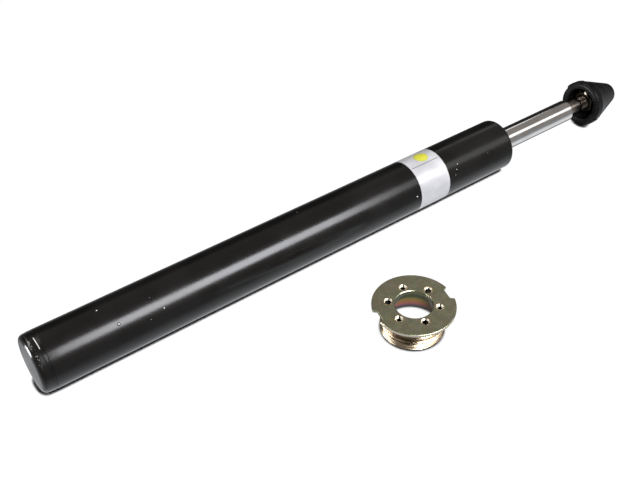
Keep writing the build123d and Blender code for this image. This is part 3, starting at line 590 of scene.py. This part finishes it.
# %% Film and painted light on the two nuts
def ring_nut_film_and_light(tree, place):
    """Streaked brown on the thread, a layered film inside the barrel, painted shade on the holes' walls,
    and countersinks painted as highlights with a thin orange edge. The rim has a painted highlight too."""
    axes = split(tree, place)
    flat = wire(tree, "ShaderNodeCombineXYZ", inputs={0: axes[0], 1: axes[1]}).outputs[0]
    off = vector_node(tree, "SUBTRACT", flat, (nut_centre[0], nut_centre[1], 0.0))
    out = vector_node(tree, "LENGTH", off)
    height = math_node(tree, "SUBTRACT", axes[2], nut_centre[2])

    streaks = between(tree, stretched_noise(tree, place, (0.04, 0.04, 1.0), 360.0), 0.44, 0.56)
    thread_tint = mixed(tree, streaks, (0.13, 0.08, 0.045, 1), (0.52, 0.42, 0.30, 1))
    inside = between(tree, out, barrel_bore + 0.0010, barrel_bore + 0.0005)
    film_and_shade_tint = mixed(tree, inside, thread_tint, inside_tint(tree, off, height))
    cone_highlights, edge, hole_shade = hole_marks(tree, off, out, height)
    film_and_shade_tint = layered(tree, film_and_shade_tint, (edge, (1.0, 0.62, 0.25)), (hole_shade, (0.05, 0.045, 0.03)))

    # A painted highlight along the flange's rim.
    rim = product(tree, between(tree, out, flange_radius - 0.0014, flange_radius - 0.0008),
                  between(tree, height, flange_top - 0.0001, flange_top - 0.0007))
    barrel = product(tree, between(tree, height, flange_under - 0.0004, flange_under - 0.0014),
                     between(tree, out, barrel_radius + 0.0010, barrel_radius + 0.0002), 0.9)
    bore = product(tree, between(tree, out, nut_bore + 0.0005, nut_bore + 0.0003),
                   between(tree, height, flange_top - 0.0002, flange_top - 0.0006), 0.7)
    film_and_shade = largest(tree, barrel, bore, product(tree, edge, 0.6), hole_shade)
    return film_and_shade, film_and_shade_tint, largest(tree, cone_highlights, rim)


def lock_nut_shade_and_glints(tree, place):
    """Nearly black all over, a painted shade for the inside of the cap, but for a few painted glints."""
    # Painted glints at random spots, and a near-black painted shade over the rest of the nut.
    painted_glints = place_group(tree, dust, Place=place, Cells=260.0, Size=0.9, Share=0.30)["Mask"]
    darkening = mixed(tree, stretched_noise(tree, place, (1, 1, 1), 500.0), (0.008, 0.006, 0.004, 1),
                 (0.05, 0.035, 0.02, 1))
    return math_node(tree, "SUBTRACT", 0.97, product(tree, painted_glints, 0.97)), darkening, painted_glints


yellow_zinc = zinc("yellow_zinc", 130.0, 860.0, 0.20, 0.32, 3200.0, ring_nut_film_and_light)
nut_zinc = zinc("nut_zinc", 60.0, 500.0, 0.26, 0.38, 2400.0, lock_nut_shade_and_glints)
print("zinc finishes:", yellow_zinc.name, nut_zinc.name)

# %% [markdown]
# ## Rubber and the label
# The cap is moulded black rubber. Its black wanders a little in faint clouds, and a few specks of
# lint lie on it. The label is a silver-white foil with one thin dark line along it and a
# plain yellow spot. Both marks are placed by distance along the tube and by angle round it, which
# comes from the arc tangent of the height over the depth.

# %% Black rubber
black_rubber, tree, shader, place = finish_of("black_rubber", IOR=1.45, Specular_IOR_Level=0.17)
clouds = place_group(tree, mottle, Place=place, Scale=75.0, Fine=1700.0)
lint = place_group(tree, dust, Place=place, Cells=420.0, Size=0.07, Share=0.10)["Mask"]
tint = mixed(tree, clouds["Broad"], (0.0032, 0.0029, 0.0030, 1), (0.0088, 0.0080, 0.0082, 1))
tint = layered(tree, tint, (product(tree, lint, 0.5), (0.3, 0.3, 0.3)))
surface(tree, shader, tint, between(tree, clouds["Broad"], 0, 1, 0.28, 0.40), clouds["Grain"], 0.00005)
print("black rubber has", len(tree.nodes), "nodes")

# %% Label foil
label_start, label_width = 0.374, 0.035
divider_angle, divider_start, divider_end, divider_fade = 105.5, 0.3752, 0.4075, 0.0004
spot_angle, spot_place, spot_radius, spot_fade = 84.0, 0.3938, 0.0071, 0.0002

label_foil, tree, shader, place = finish_of("label_foil", Metallic=0.25)
clouds = place_group(tree, mottle, Place=place, Scale=55.0, Fine=1800.0)
axes = split(tree, place)
angle = math_node(tree, "ARCTAN2", axes[2], axes[1])


def arc_from(degrees):
    """Distance round the tube from an angle, in metres."""
    return product(tree, math_node(tree, "SUBTRACT", angle, math.radians(degrees)), tube_radius)


beside_divider = math_node(tree, "ABSOLUTE", arc_from(divider_angle))
stroke = product(tree, between(tree, beside_divider, 0.00045, 0.0002),
                 between(tree, axes[0], divider_start, divider_start + divider_fade),
                 between(tree, axes[0], divider_end, divider_end - divider_fade))
from_spot = diagonal(tree, arc_from(spot_angle), math_node(tree, "SUBTRACT", axes[0], spot_place))
spot = between(tree, from_spot, spot_radius + spot_fade, spot_radius - spot_fade)
spot_edge = product(tree, between(tree, from_spot, spot_radius - 0.0013, spot_radius - 0.0005), spot)
tint = mixed(tree, clouds["Broad"], (0.44, 0.44, 0.455, 1), (0.53, 0.53, 0.545, 1))
tint = layered(tree, tint, (spot, (0.62, 0.60, 0.06)), (product(tree, spot_edge, 0.7), (0.40, 0.42, 0.14)),
               (stroke, (0.09, 0.09, 0.09)))
surface(tree, shader, tint, between(tree, clouds["Broad"], 0, 1, 0.30, 0.40), clouds["Grain"], 0.00001)
print("label runs from", label_start, "to", label_start + label_width, "m")

# %% [markdown]
# ## Finishes for the solids
# Many solids have the right shape already, above all those inside the tube, so they keep their
# mesh and only take a finish. The record says which material slot each solid uses.

# %% Finish the solids
finishes = {"black_paint": black_paint, "label_foil": label_foil, "plain_steel": plain_steel,
            "sintered_iron": sintered_iron, "lined_bronze": lined_bronze, "black_rubber": black_rubber,
            "ring_polymer": ring_polymer, "hard_chrome": hard_chrome, "yellow_zinc": yellow_zinc}
slots = {row["node"]: row["material_slot"] for row in frame["record"]["subparts"]}
for node, solid in frame["nodes"].items():
    for holder in solid.material_slots:
        holder.material = finishes[slots[node]]
print("solids finished:", len(slots))

# %% [markdown]
# ## Tube and closed end
# The tube is drawn steel whose mouth is rolled in over the seal pack, and the closed end is a
# pressed cup welded into it. Both are outlines turned about the strut's axis. The cup's skirt has
# a slight draft and a small step before the weld, so it doesn't carry on the tube's highlight. The
# tube's rounded edge shows as a thin bright line, and the step's thin bright line is a painted
# highlight in the black paint. The rolled mouth carries the faint waves that the rolling tool leaves.

# %% Tube
tube_end, tube_bore, tube_start, wall_middle = 0.4935, 0.023, 0.0106, 0.0236
roll_opening, roll_under = 0.0195, 0.4915
tube_angles = np.linspace(0, 2 * np.pi, 241)

tube_corners = [(tube_start, wall_middle), (tube_start, tube_radius), (tube_end, tube_radius),
                (tube_end, roll_opening), (roll_under, roll_opening), (roll_under, tube_bore),
                (tube_start, tube_bore)]
tube_outline = rounded(tube_corners, [0, 0.0007, 0.0034, 0.0006, 0.0003, 0.0015, 0.0003], steps=9)
tube_outline = spread(np.concatenate([tube_outline, tube_outline[:1]]), 0.012)
tube_along, tube_out = tube_outline[:, :1], tube_outline[:, 1:]
on_roll = (fade(tube_along, tube_end - 0.0030, tube_end - 0.0004)
           * fade(tube_out, roll_opening - 0.0005, roll_opening + 0.0020))
tool_waves = 0.00004 * np.sin(11 * tube_angles + 0.6) + 0.00003 * np.sin(17 * tube_angles)
tube_grid = (tube_along - on_roll * (0.00007 + tool_waves[None]), tube_out + 0 * tube_angles[None])
piece("tube_shell", [turned(tube_grid, tube_angles)], black_paint, "strut_body", ["outer_tube"])

# %% Closed end
skirt_end, spigot_end, cup_floor, cup_bore = 0.0094, 0.018, 0.005, 0.020
draft_end, step_end = 0.0080, 0.0086

cup_corners = [(0, 0), (0, tube_radius - 0.0005), (draft_end, tube_radius - 0.0002),
               (step_end, tube_radius), (skirt_end, tube_radius), (skirt_end, tube_bore),
               (spigot_end, tube_bore), (spigot_end, cup_bore), (cup_floor, cup_bore), (cup_floor, 0)]
cup_outline = rounded(cup_corners, [0, 0.0050, 0.0002, 0.0002, 0.0003, 0, 0.0007, 0, 0.0005, 0], steps=9)
piece("closed_end", [turned(spread(cup_outline, 0.0015), tube_angles)], black_paint, "strut_body",
      ["base_cup"])

# %% [markdown]
# ## The label
# Real foil is wrapped once round and overlaps itself by a few millimetres, so its radius grows
# slightly with the angle, and it is never quite smooth. The strip's thin cross-section is carried
# round the tube and closes to an edge at both ends.

# %% Label
wrap_start, wrap_overlap = math.radians(12), math.radians(13)
label_end = label_start + label_width
foil_thickness, foil_gap, ripple_height = 0.00005, 0.00001, 0.00001
turns = np.linspace(0, 2 * np.pi + wrap_overlap, 300)

strip_corners = [(label_start, 1), (label_end, 1), (label_end, 0), (label_start, 0)]
strip = spread(rounded(strip_corners, [0.0] * 4, steps=2), 0.0025)
strip = np.concatenate([strip, strip[:1]])
strip_along, strip_out = strip[:, :1], strip[:, 1:]
lift = foil_gap + foil_thickness * turns / (2 * np.pi)
waves = np.sin(9 * turns[None] + 160 * strip_along) + np.sin(5 * turns[None] - 90 * strip_along)
shut = fade(turns, 0, 0.01) * fade(turns, turns[-1], turns[-1] - 0.01)
outward = (tube_radius + lift + foil_thickness * (0.5 + (np.round(strip_out) - 0.5) * shut)
           + ripple_height * waves * fade(turns, 0, 0.3))
piece("label_wrap", [turned((strip_along, outward), turns + wrap_start)], label_foil, "strut_body",
      ["label_band"])

# %% [markdown]
# ## The piston rod
# The rod is ground bar with hard chrome over the running length. Its top end is turned down to a
# shank, left in plain steel and threaded, and has a hexagon socket to hold it while the nut turns.
# The chromed length and the shank are two grids that meet at the shoulder, and the end with its
# socket is a third.

# %% Rod outlines
rod_radius, shank_radius, spigot_radius = 0.011, 0.007, 0.006
rod_start, rod_lower_shoulder, rod_shoulder, rod_end = 0.2599, 0.302, 0.595, 0.643
rod_chamfer, end_chamfer = 0.0009, 0.0012
thread_pitch, thread_depth, thread_start = 0.0015, 0.00085, 0.6125
round_angles = np.linspace(0, 2 * np.pi, 97)

bar_corners = [(rod_start, 0), (rod_start, spigot_radius), (rod_lower_shoulder, spigot_radius),
               (rod_lower_shoulder, rod_radius), (rod_shoulder - rod_chamfer, rod_radius),
               (rod_shoulder, rod_radius - rod_chamfer), (rod_shoulder, shank_radius + 0.0004),
               (rod_shoulder + 0.0006, shank_radius - 0.0002)]
bar = spread(rounded(bar_corners, [0, 0.0006, 0, 0.0005, 0.0004, 0.0004, 0.0003, 0]), 0.01)
shank_corners = [bar_corners[-1], (rod_shoulder + 0.002, shank_radius),
                 (rod_end - end_chamfer, shank_radius), (rod_end, shank_radius - end_chamfer)]
shank = spread(rounded(shank_corners, [0, 0.0004, 0.0003, 0]), 0.00018)
shank_along = shank[:, :1]
ridge = screw_ridge(shank_along, round_angles[None], thread_pitch)
cut = fade(shank_along, thread_start, thread_start + 0.002) * fade(shank_along, rod_end, rod_end - 0.001)
shank_out = shank[:, 1:] - thread_depth * (1 - ridge) * cut
print("shank rows:", len(shank))

# %% Piston rod
socket_flats, socket_depth = 0.006, 0.007
socket_floor = rod_end - socket_depth
key_edge = hexagon(socket_flats, round_angles)
end_along = np.array([[rod_end], [rod_end], [rod_end - 0.0004], [socket_floor], [socket_floor - 0.001]])
end_out = np.stack([np.full(len(round_angles), shank_radius - end_chamfer), key_edge * 1.12, key_edge,
                    key_edge, key_edge * 0])
rod_grids = [turned(bar, round_angles), turned((shank_along, shank_out), round_angles),
             turned((end_along, end_out), round_angles)]
rod_piece = piece("chromed_rod", rod_grids, hard_chrome, "rod", ["piston_rod"])
rod_piece.data.materials.append(shank_steel)
centres = np.empty(len(rod_piece.data.polygons) * 3)
rod_piece.data.polygons.foreach_get("center", centres)
past_shoulder = centres.reshape(-1, 3)[:, 0] > rod_shoulder - 0.00005
rod_piece.data.polygons.foreach_set("material_index", past_shoulder.astype(np.int32))
print("plain faces past the shoulder:", int(past_shoulder.sum()))

# %% [markdown]
# ## The lock nut
# A nut is a hexagon whose corners are cut by a cone on both faces. The radius is the smaller of
# the two at every point, with a soft minimum so that the edges between them come out rounded.

# %% Lock nut
nut_flats, nut_start, nut_height, nut_face_radius = 0.021, 0.622, 0.013, 0.010
nut_chamfer, nut_clearance = 0.0006, 0.0002
nut_angles = np.linspace(0, 2 * np.pi, 217)


def soft_minimum(first, second, softness):
    """-s log(exp(-a / s) + exp(-b / s)): the smaller value, rounded over a width of about s."""
    return -softness * np.logaddexp(-first / softness, -second / softness)


side = nut_height / 2 * (1 - np.cos(np.linspace(0, np.pi, 46)))
cone = nut_face_radius + 2 * np.minimum(side, nut_height - side)
side_out = soft_minimum(hexagon(nut_flats, nut_angles)[None], cone[:, None], 0.00012)
face_shares = np.array([1.0, 0.93, 0.82, 0.75])
face_out = face_shares[:, None] * side_out[:1]
bore_out = np.full((1, len(nut_angles)), shank_radius + nut_clearance)
nut_out = np.concatenate([bore_out, bore_out + nut_chamfer, face_out[::-1], side_out[1:-1], face_out,
                          bore_out + nut_chamfer, bore_out, bore_out])
nut_along = np.concatenate([[nut_chamfer, 0], 0 * face_shares, side[1:-1], 0 * face_shares + nut_height,
                            [nut_height, nut_height - nut_chamfer, nut_chamfer]])
piece("lock_nut_hex", [turned((nut_along[:, None] + nut_start, nut_out), nut_angles)], nut_zinc, "rod",
      ["lock_nut"], sharp=50)

# %% [markdown]
# ## The rubber cap
# The cap is a hollow plug with a lip, a flange cut into four lobes, and a body that tapers to a
# blunt tail. Two outlines are drawn with the same number of points, one through a lobe and one
# through a gap, and the surface blends from one to the other round the axis.

# %% Cap outlines
cap_place = (0.6169, -0.0004, -0.0006)
droop, yaw = math.radians(6.5), math.radians(4)
cap_axis = np.array([math.cos(droop) * math.cos(yaw), math.cos(droop) * math.sin(yaw), -math.sin(droop)])
cap_side = np.array([-math.sin(yaw), math.cos(yaw), 0])
lobe_corners = [(0.0502, 0), (0.0502, 0.0102), (0.0086, 0.0231), (0.0082, 0.0236), (0.0012, 0.0236),
                (0.0006, 0.0221), (0, 0.0205), (0, 0.0169), (0.0009, 0.016), (0.026, 0.015),
                (0.041, 0.0075), (0.041, 0)]
gap_corners = [(0.0502, 0), (0.0502, 0.0102), (0.0086, 0.0231), (0.0082, 0.0231), (0.0014, 0.0207),
               *lobe_corners[5:]]
cap_cuts = [0, 0.003, 0.0003, 0.0002, 0.0007, 0.0004, 0.0007, 0.0004, 0.0004, 0.001, 0.001, 0]
divided_from = 0.0012


def same_count(corners, parts=9):
    """An outline with rounded corners and the same number of points on each run.

    Where the outline through a lobe has a run longer than divided_from, both are divided there.
    """
    path = rounded(corners, cap_cuts)
    share = np.linspace(0, 1, parts, endpoint=False)[None, :, None]
    runs = path[:-1, None] * (1 - share) + path[1:, None] * share
    keep = np.repeat(long_runs[:, None], parts, axis=1)
    keep[:, 0] = True
    return np.concatenate([runs[keep], path[-1:]])


long_runs = np.hypot(*np.diff(rounded(lobe_corners, cap_cuts), axis=0).T) > divided_from
through_lobe, through_gap = same_count(lobe_corners), same_count(gap_corners)
print("cap outlines have", len(through_lobe), "and", len(through_gap), "points")

# %% Cap
cap_lobes = np.radians([(29, 72), (79, 200), (206, 228), (234, 267)])
cap_angles = np.linspace(0, 2 * np.pi, 481)
soft_edge = math.radians(1.6)
in_lobe = sum(fade(cap_angles, start - soft_edge / 2, start + soft_edge / 2)
              * fade(cap_angles, end + soft_edge / 2, end - soft_edge / 2) for start, end in cap_lobes)
cap_along = through_gap[:, :1] * (1 - in_lobe) + through_lobe[:, :1] * in_lobe
cap_out = through_gap[:, 1:] * (1 - in_lobe) + through_lobe[:, 1:] * in_lobe
cap_grid = turned((cap_along, cap_out), cap_angles, cap_place, cap_axis, cap_side)
piece("rubber_cap", [cap_grid], black_rubber, "cap", ["rod_end_cap"])

# %% [markdown]
# ## The ring nut
# The nut is a threaded barrel under a thin flange. Six countersunk holes take a pin spanner, and
# two notches in the rim take a hook. The outside and the bore are outlines turned about the
# upright axis. The face between them is six equal sectors with one hole each, and every sector
# is a grid that runs from its border in to the hole, down its cone and wall, and out again
# underneath, so that no hole has to be cut afterwards.

# %% Flange and barrel
ring_angles = np.linspace(0, 2 * np.pi, 361) + math.radians(45)
upright = dict(place=nut_centre, axis=(0, 0, 1), side=(1, 0, 0))
foot_chamfer = 0.0013

flange_corners = [(flange_top, sector_outer), (flange_top, flange_radius), (flange_under, flange_radius),
                  (flange_under, relief_radius), (relief_low, relief_radius), (thread_top, barrel_radius),
                  (foot_chamfer, barrel_radius), (0, barrel_radius - foot_chamfer), (0, barrel_bore),
                  (plate_under, barrel_bore)]
flange_cuts = [0, 0.0007, 0.0006, 0.0003, 0.0003, 0.0002, 0.0003, 0.0002, 0.0005, 0]
flange_outline = spread(rounded(flange_corners, flange_cuts), 0.0011)
thread_edge, thread_floor = thread_top + 0.0002, relief_radius - 0.0002
on_thread = (flange_outline[:, 0] < thread_edge) & (flange_outline[:, 1] > thread_floor)
first_row, last_row = np.flatnonzero(on_thread)[[0, -1]]
fine_rows = spread(flange_outline[first_row:last_row + 1], 0.00025)
flange_outline = np.concatenate([flange_outline[:first_row], fine_rows, flange_outline[last_row + 1:]])
flange_along, flange_out = flange_outline[:, :1], flange_outline[:, 1:]
print("rows on the nut's thread:", len(fine_rows))

# %% Thread and notches
ring_pitch, ring_thread_depth = 0.0015, 0.00085
notch_angle, notch_floor, notch_root = math.radians(167), 0.0307, 0.0282
ridge = screw_ridge(flange_along, ring_angles[None], ring_pitch)
cut = (fade(flange_along, thread_edge, thread_edge - 0.0012) * fade(flange_along, 0.0002, 0.0012)
       * (flange_out > thread_floor))
off_notch = (ring_angles - notch_angle + np.pi / 2) % np.pi - np.pi / 2
notch_flat = notch_floor / np.cos(off_notch)
in_notch = fade(np.abs(off_notch), math.radians(11.7), math.radians(10.3))
rim = flange_radius * (1 - in_notch) + np.minimum(notch_flat, flange_radius) * in_notch
squeeze = np.clip((flange_out - notch_root) / (flange_radius - notch_root), 0, 1)
flange_out = flange_out - ring_thread_depth * (1 - ridge) * cut - (flange_radius - rim) * squeeze
flange_grid = turned((flange_along, flange_out), ring_angles, **upright)
print("notches", round(1000 * (flange_radius - notch_floor), 1), "mm deep")

# %% Bore
bore_chamfer, bore_border = 0.0006, nut_bore + 0.0002
bore_corners = [(flange_top, sector_inner), (flange_top, nut_bore + bore_chamfer),
                (flange_top - bore_chamfer, nut_bore), (plate_under, nut_bore), (plate_under, bore_border)]
bore_outline = spread(rounded(bore_corners, [0, 0.0002, 0.0002, 0, 0]), 0.001)
bore_grid = turned(bore_outline, ring_angles, **upright)
print("bore rows:", len(bore_outline))

# %% Sectors with holes
def sector(number, columns=60, across=9, rows=8):
    """One sixth of the nut's face, from its border to its hole.

    The border is a closed loop: the outer arc, a straight line in, the inner arc back and a line
    out. Each border point b is carried to the hole along the straight line towards the hole's
    centre c: c + (b - c) (1 - t) + R (b - c) / |b - c| t, with t from 0 at the border to 1 at the
    hole's edge. Below, the same is done in reverse with the underside's border.
    """
    hole, sink = hole_sizes[number % 2]
    middle = first_hole + number * hole_step
    arc = middle + np.linspace(-hole_step / 2, hole_step / 2, columns + 1)

    def border(outer, inner):
        line = np.linspace(outer, inner, across)
        radius = np.concatenate([np.full(columns, outer), line[:-1], np.full(columns, inner),
                                 line[:0:-1], [outer]])
        angle = np.concatenate([arc[:-1], np.full(across - 1, arc[-1]), arc[:0:-1], np.full(across, arc[0])])
        return np.stack([radius * np.cos(angle), radius * np.sin(angle)], axis=1)

    centre = hole_circle * np.array([math.cos(middle), math.sin(middle)])
    top = border(sector_outer, sector_inner) - centre
    under = border(barrel_bore, bore_border) - centre
    toward = top / np.linalg.norm(top, axis=1, keepdims=True)
    down = rounded([(flange_top, sink + 0.0004), (flange_top, sink), (flange_top - (sink - hole), hole),
                    (plate_under, hole), (plate_under, hole + 0.0003)],
                   [0, 0.0002, 0.0001, 0.0001, 0], steps=4)
    share = np.linspace(0, 1, rows)[:, None, None]
    top_rows = top * (1 - share) + toward * down[0, 1] * share
    wall_rows = toward[None] * down[:, 1, None, None]
    under_rows = toward * down[-1, 1] * (1 - share) + under * share
    flat = np.concatenate([top_rows[:-1], wall_rows, under_rows[1:]]) + centre
    height = np.concatenate([np.full(rows - 1, flange_top), down[:, 0], np.full(rows - 1, plate_under)])
    height = np.broadcast_to(height[:, None, None], (*flat.shape[:2], 1))
    return np.concatenate([flat, height], axis=2) + nut_centre


sectors = [sector(number) for number in range(hole_count)]
piece("ring_nut_turned", [flange_grid, bore_grid, *sectors], yellow_zinc, "ring_nut", ["ring_nut"],
      sharp=50)

# %% [markdown]
# ## Floor and light
# The broad pale band lies along the middle of the tube as the camera sees it, so the main light is
# a large soft panel in the plane that holds both the camera and the tube's axis. It ends short of
# the rod, where a weaker panel carries on and draws the white line along the chrome. Three more
# lights stand behind: one high at the left, one low past the closed end, and a faint one far to
# the right that draws a thin light line near the rod's top.
#
# The floor gives off its own white light, so it has no soft shadows, and only darkens in a thin
# line where the parts touch it. That line is weaker at the ring nut and past the tube's end. In
# reflections the floor is white only near the strut and dim further out, as a small lit table in a
# dark room is, and that keeps the lower half of the tube black. A bright ring, two patches and a
# spot are there for the ring nut to mirror. Under and behind the rod, far behind the strut and
# past the closed end the mirrored floor is dimmer. The room itself is warm grey but for a dark
# wall at the back, which blackens the rod's upper edge.

# %% Floor
floor_height, floor_reach = -0.0252, 6
floor_corners = [(floor_reach * x, floor_reach * y, floor_height)
                 for x, y in ((-1, -1), (1, -1), (1, 1), (-1, 1))]
floor_mesh = bpy.data.meshes.new("floor")
floor_mesh.from_pydata(floor_corners, [], [(0, 1, 2, 3)])
floor = bpy.data.objects.new("floor", floor_mesh)
bpy.context.scene.collection.objects.link(floor)
floor_white, tree, shader, place = finish_of(
    "floor_white", Roughness=0.9, Base_Color=(0.03, 0.03, 0.03, 1), Specular_IOR_Level=0.0)
floor_mesh.materials.append(floor_white)
print("floor is", 2 * floor_reach, "m wide")

# %% Contact line
# Two numbers in brackets are where a smooth step starts and where it ends, in metres.
contact_reach, nut_zone, rod_zone = 0.0045, (0.055, 0.045), (0.50, 0.52)
axes = split(tree, place)
from_nut = vector_node(tree, "SUBTRACT", place, (nut_centre[0], nut_centre[1], floor_height))
nut_far = vector_node(tree, "LENGTH", from_nut)
shade = wire(tree, "ShaderNodeAmbientOcclusion", samples=8,
             inputs={"Distance": contact_reach}).outputs["AO"]
small_parts = largest(tree, between(tree, nut_far, *nut_zone), between(tree, axes[0], *rod_zone))
darkest = math_node(tree, "SUBTRACT", 0.73, product(tree, small_parts, 0.33))
lightest = math_node(tree, "SUBTRACT", 0.91, product(tree, small_parts, 0.11))
contact = between(tree, shade, darkest, lightest)
print("contact line from", len(tree.nodes), "nodes")

# %% Mirrored floor
strut_zone, ring_start, ring_end, spot_zone = (0.030, 0.085), (0.052, 0.058), (0.085, 0.075), (0.027, 0.023)
patch_turns, patch_outer, patch_inner = (-95, 165), math.radians(19), math.radians(11)
patch_zone = (0.060, 0.052)
by_strut = between(tree, math_node(tree, "ABSOLUTE", axes[1]), *strut_zone, 0.90, 0.26)
ring_about = product(tree, between(tree, nut_far, *ring_start), between(tree, nut_far, *ring_end, 0.0, 0.9))
under_nut = between(tree, nut_far, *spot_zone, 0.0, 0.55)
mirrored = largest(tree, by_strut, ring_about, under_nut)
nut_way = vector_node(tree, "NORMALIZE", from_nut)
for turn in np.radians(patch_turns):
    facing = vector_node(tree, "DOT_PRODUCT", nut_way, (math.cos(turn), math.sin(turn), 0))
    patch = product(tree, between(tree, facing, math.cos(patch_outer), math.cos(patch_inner)),
                    between(tree, nut_far, *patch_zone, 0.0, 0.45))
    mirrored = largest(tree, mirrored, patch)
print("mirrored floor has", len(patch_turns), "patches at the nut")

# %% Dim parts of the mirrored floor
past_tube, beside_rod, back_zone, base_zone = (0.500, 0.505), (-0.014, -0.010), (0.15, 0.30), (-0.001, -0.004)
under_rod = product(tree, between(tree, axes[0], *past_tube), between(tree, axes[1], *beside_rod))
far_behind = between(tree, axes[1], *back_zone)
past_base = between(tree, axes[0], *base_zone, 0.0, 0.40)
dimmed = product(tree, largest(tree, under_rod, far_behind, past_base), 0.9)
mirrored = product(tree, mirrored, math_node(tree, "SUBTRACT", 1.0, dimmed))
print("floor finish so far has", len(tree.nodes), "nodes")

# %% Floor's glow
seen = wire(tree, "ShaderNodeLightPath").outputs["Is Camera Ray"]
in_view = product(tree, seen, contact)
in_mirror = product(tree, math_node(tree, "SUBTRACT", 1.0, seen), mirrored)
feed(tree, shader, {"Emission Strength": math_node(tree, "ADD", in_view, in_mirror),
                    "Emission Color": mixed(tree, seen, (0.93, 0.96, 1.0, 1), (1, 1, 1, 1))})
print("floor finish has", len(tree.nodes), "nodes")

# %% Lights
def soft_light(name, place, target, width, height, power, colour=(1, 1, 1)):
    """A rectangular light that faces its target, with its width kept level."""
    lamp = bpy.data.lights.new(name, "AREA")
    lamp.shape, lamp.size, lamp.size_y, lamp.energy, lamp.color = "RECTANGLE", width, height, power, colour
    holder = bpy.data.objects.new(name, lamp)
    holder.location = place
    holder.rotation_mode = "QUATERNION"
    holder.rotation_quaternion = (Vector(target) - Vector(place)).to_track_quat("-Z", "Y")
    holder.visible_camera = False
    bpy.context.scene.collection.objects.link(holder)
    print(name, "light gives", power, "W")


soft_light("key", (0.42, -0.518, 0.542), (0.42, 0.0, 0.0), 0.58, 0.34, 10.3, (0.95, 0.96, 1.0))
soft_light("panel", (1.07, -0.518, 0.542), (1.07, 0.0, 0.0), 0.70, 0.34, 1.05)
soft_light("left", (-0.45, 0.60, 0.98), (0.2, -0.05, 0.0), 0.75, 0.16, 7.5)
soft_light("rim", (-0.95, 0.50, 0.07), (0.0, 0.0, 0.0), 0.30, 0.17, 14.0)
soft_light("back", (1.50, 0.88, 0.96), (0.55, 0.0, 0.0), 0.34, 0.16, 0.25)

# %% Room
world = bpy.data.worlds.new("studio")
bpy.context.scene.world = world
world.use_nodes = True
tree = world.node_tree
tree.nodes.clear()
white = wire(tree, "ShaderNodeBackground", inputs={"Color": (1, 1, 1, 1), "Strength": 1.0})
toward = split(tree, tree.nodes.new("ShaderNodeTexCoord").outputs["Generated"])
wall_side, wall_top = (0.10, 0.25), (0.60, 0.52)
back_wall = product(tree, between(tree, toward[1], *wall_side), between(tree, toward[2], *wall_top))
room_tint = mixed(tree, back_wall, (0.290, 0.268, 0.250, 1), (0.02, 0.02, 0.02, 1))
room = wire(tree, "ShaderNodeBackground", inputs={"Color": room_tint, "Strength": 1.0})
seen = wire(tree, "ShaderNodeLightPath").outputs["Is Camera Ray"]
both = wire(tree, "ShaderNodeMixShader", inputs={0: seen, 1: room.outputs[0], 2: white.outputs[0]})
wire(tree, "ShaderNodeOutputWorld", inputs={0: both.outputs[0]})
bpy.context.scene.view_settings.view_transform = "Standard"
print("room has", len(tree.nodes), "nodes")
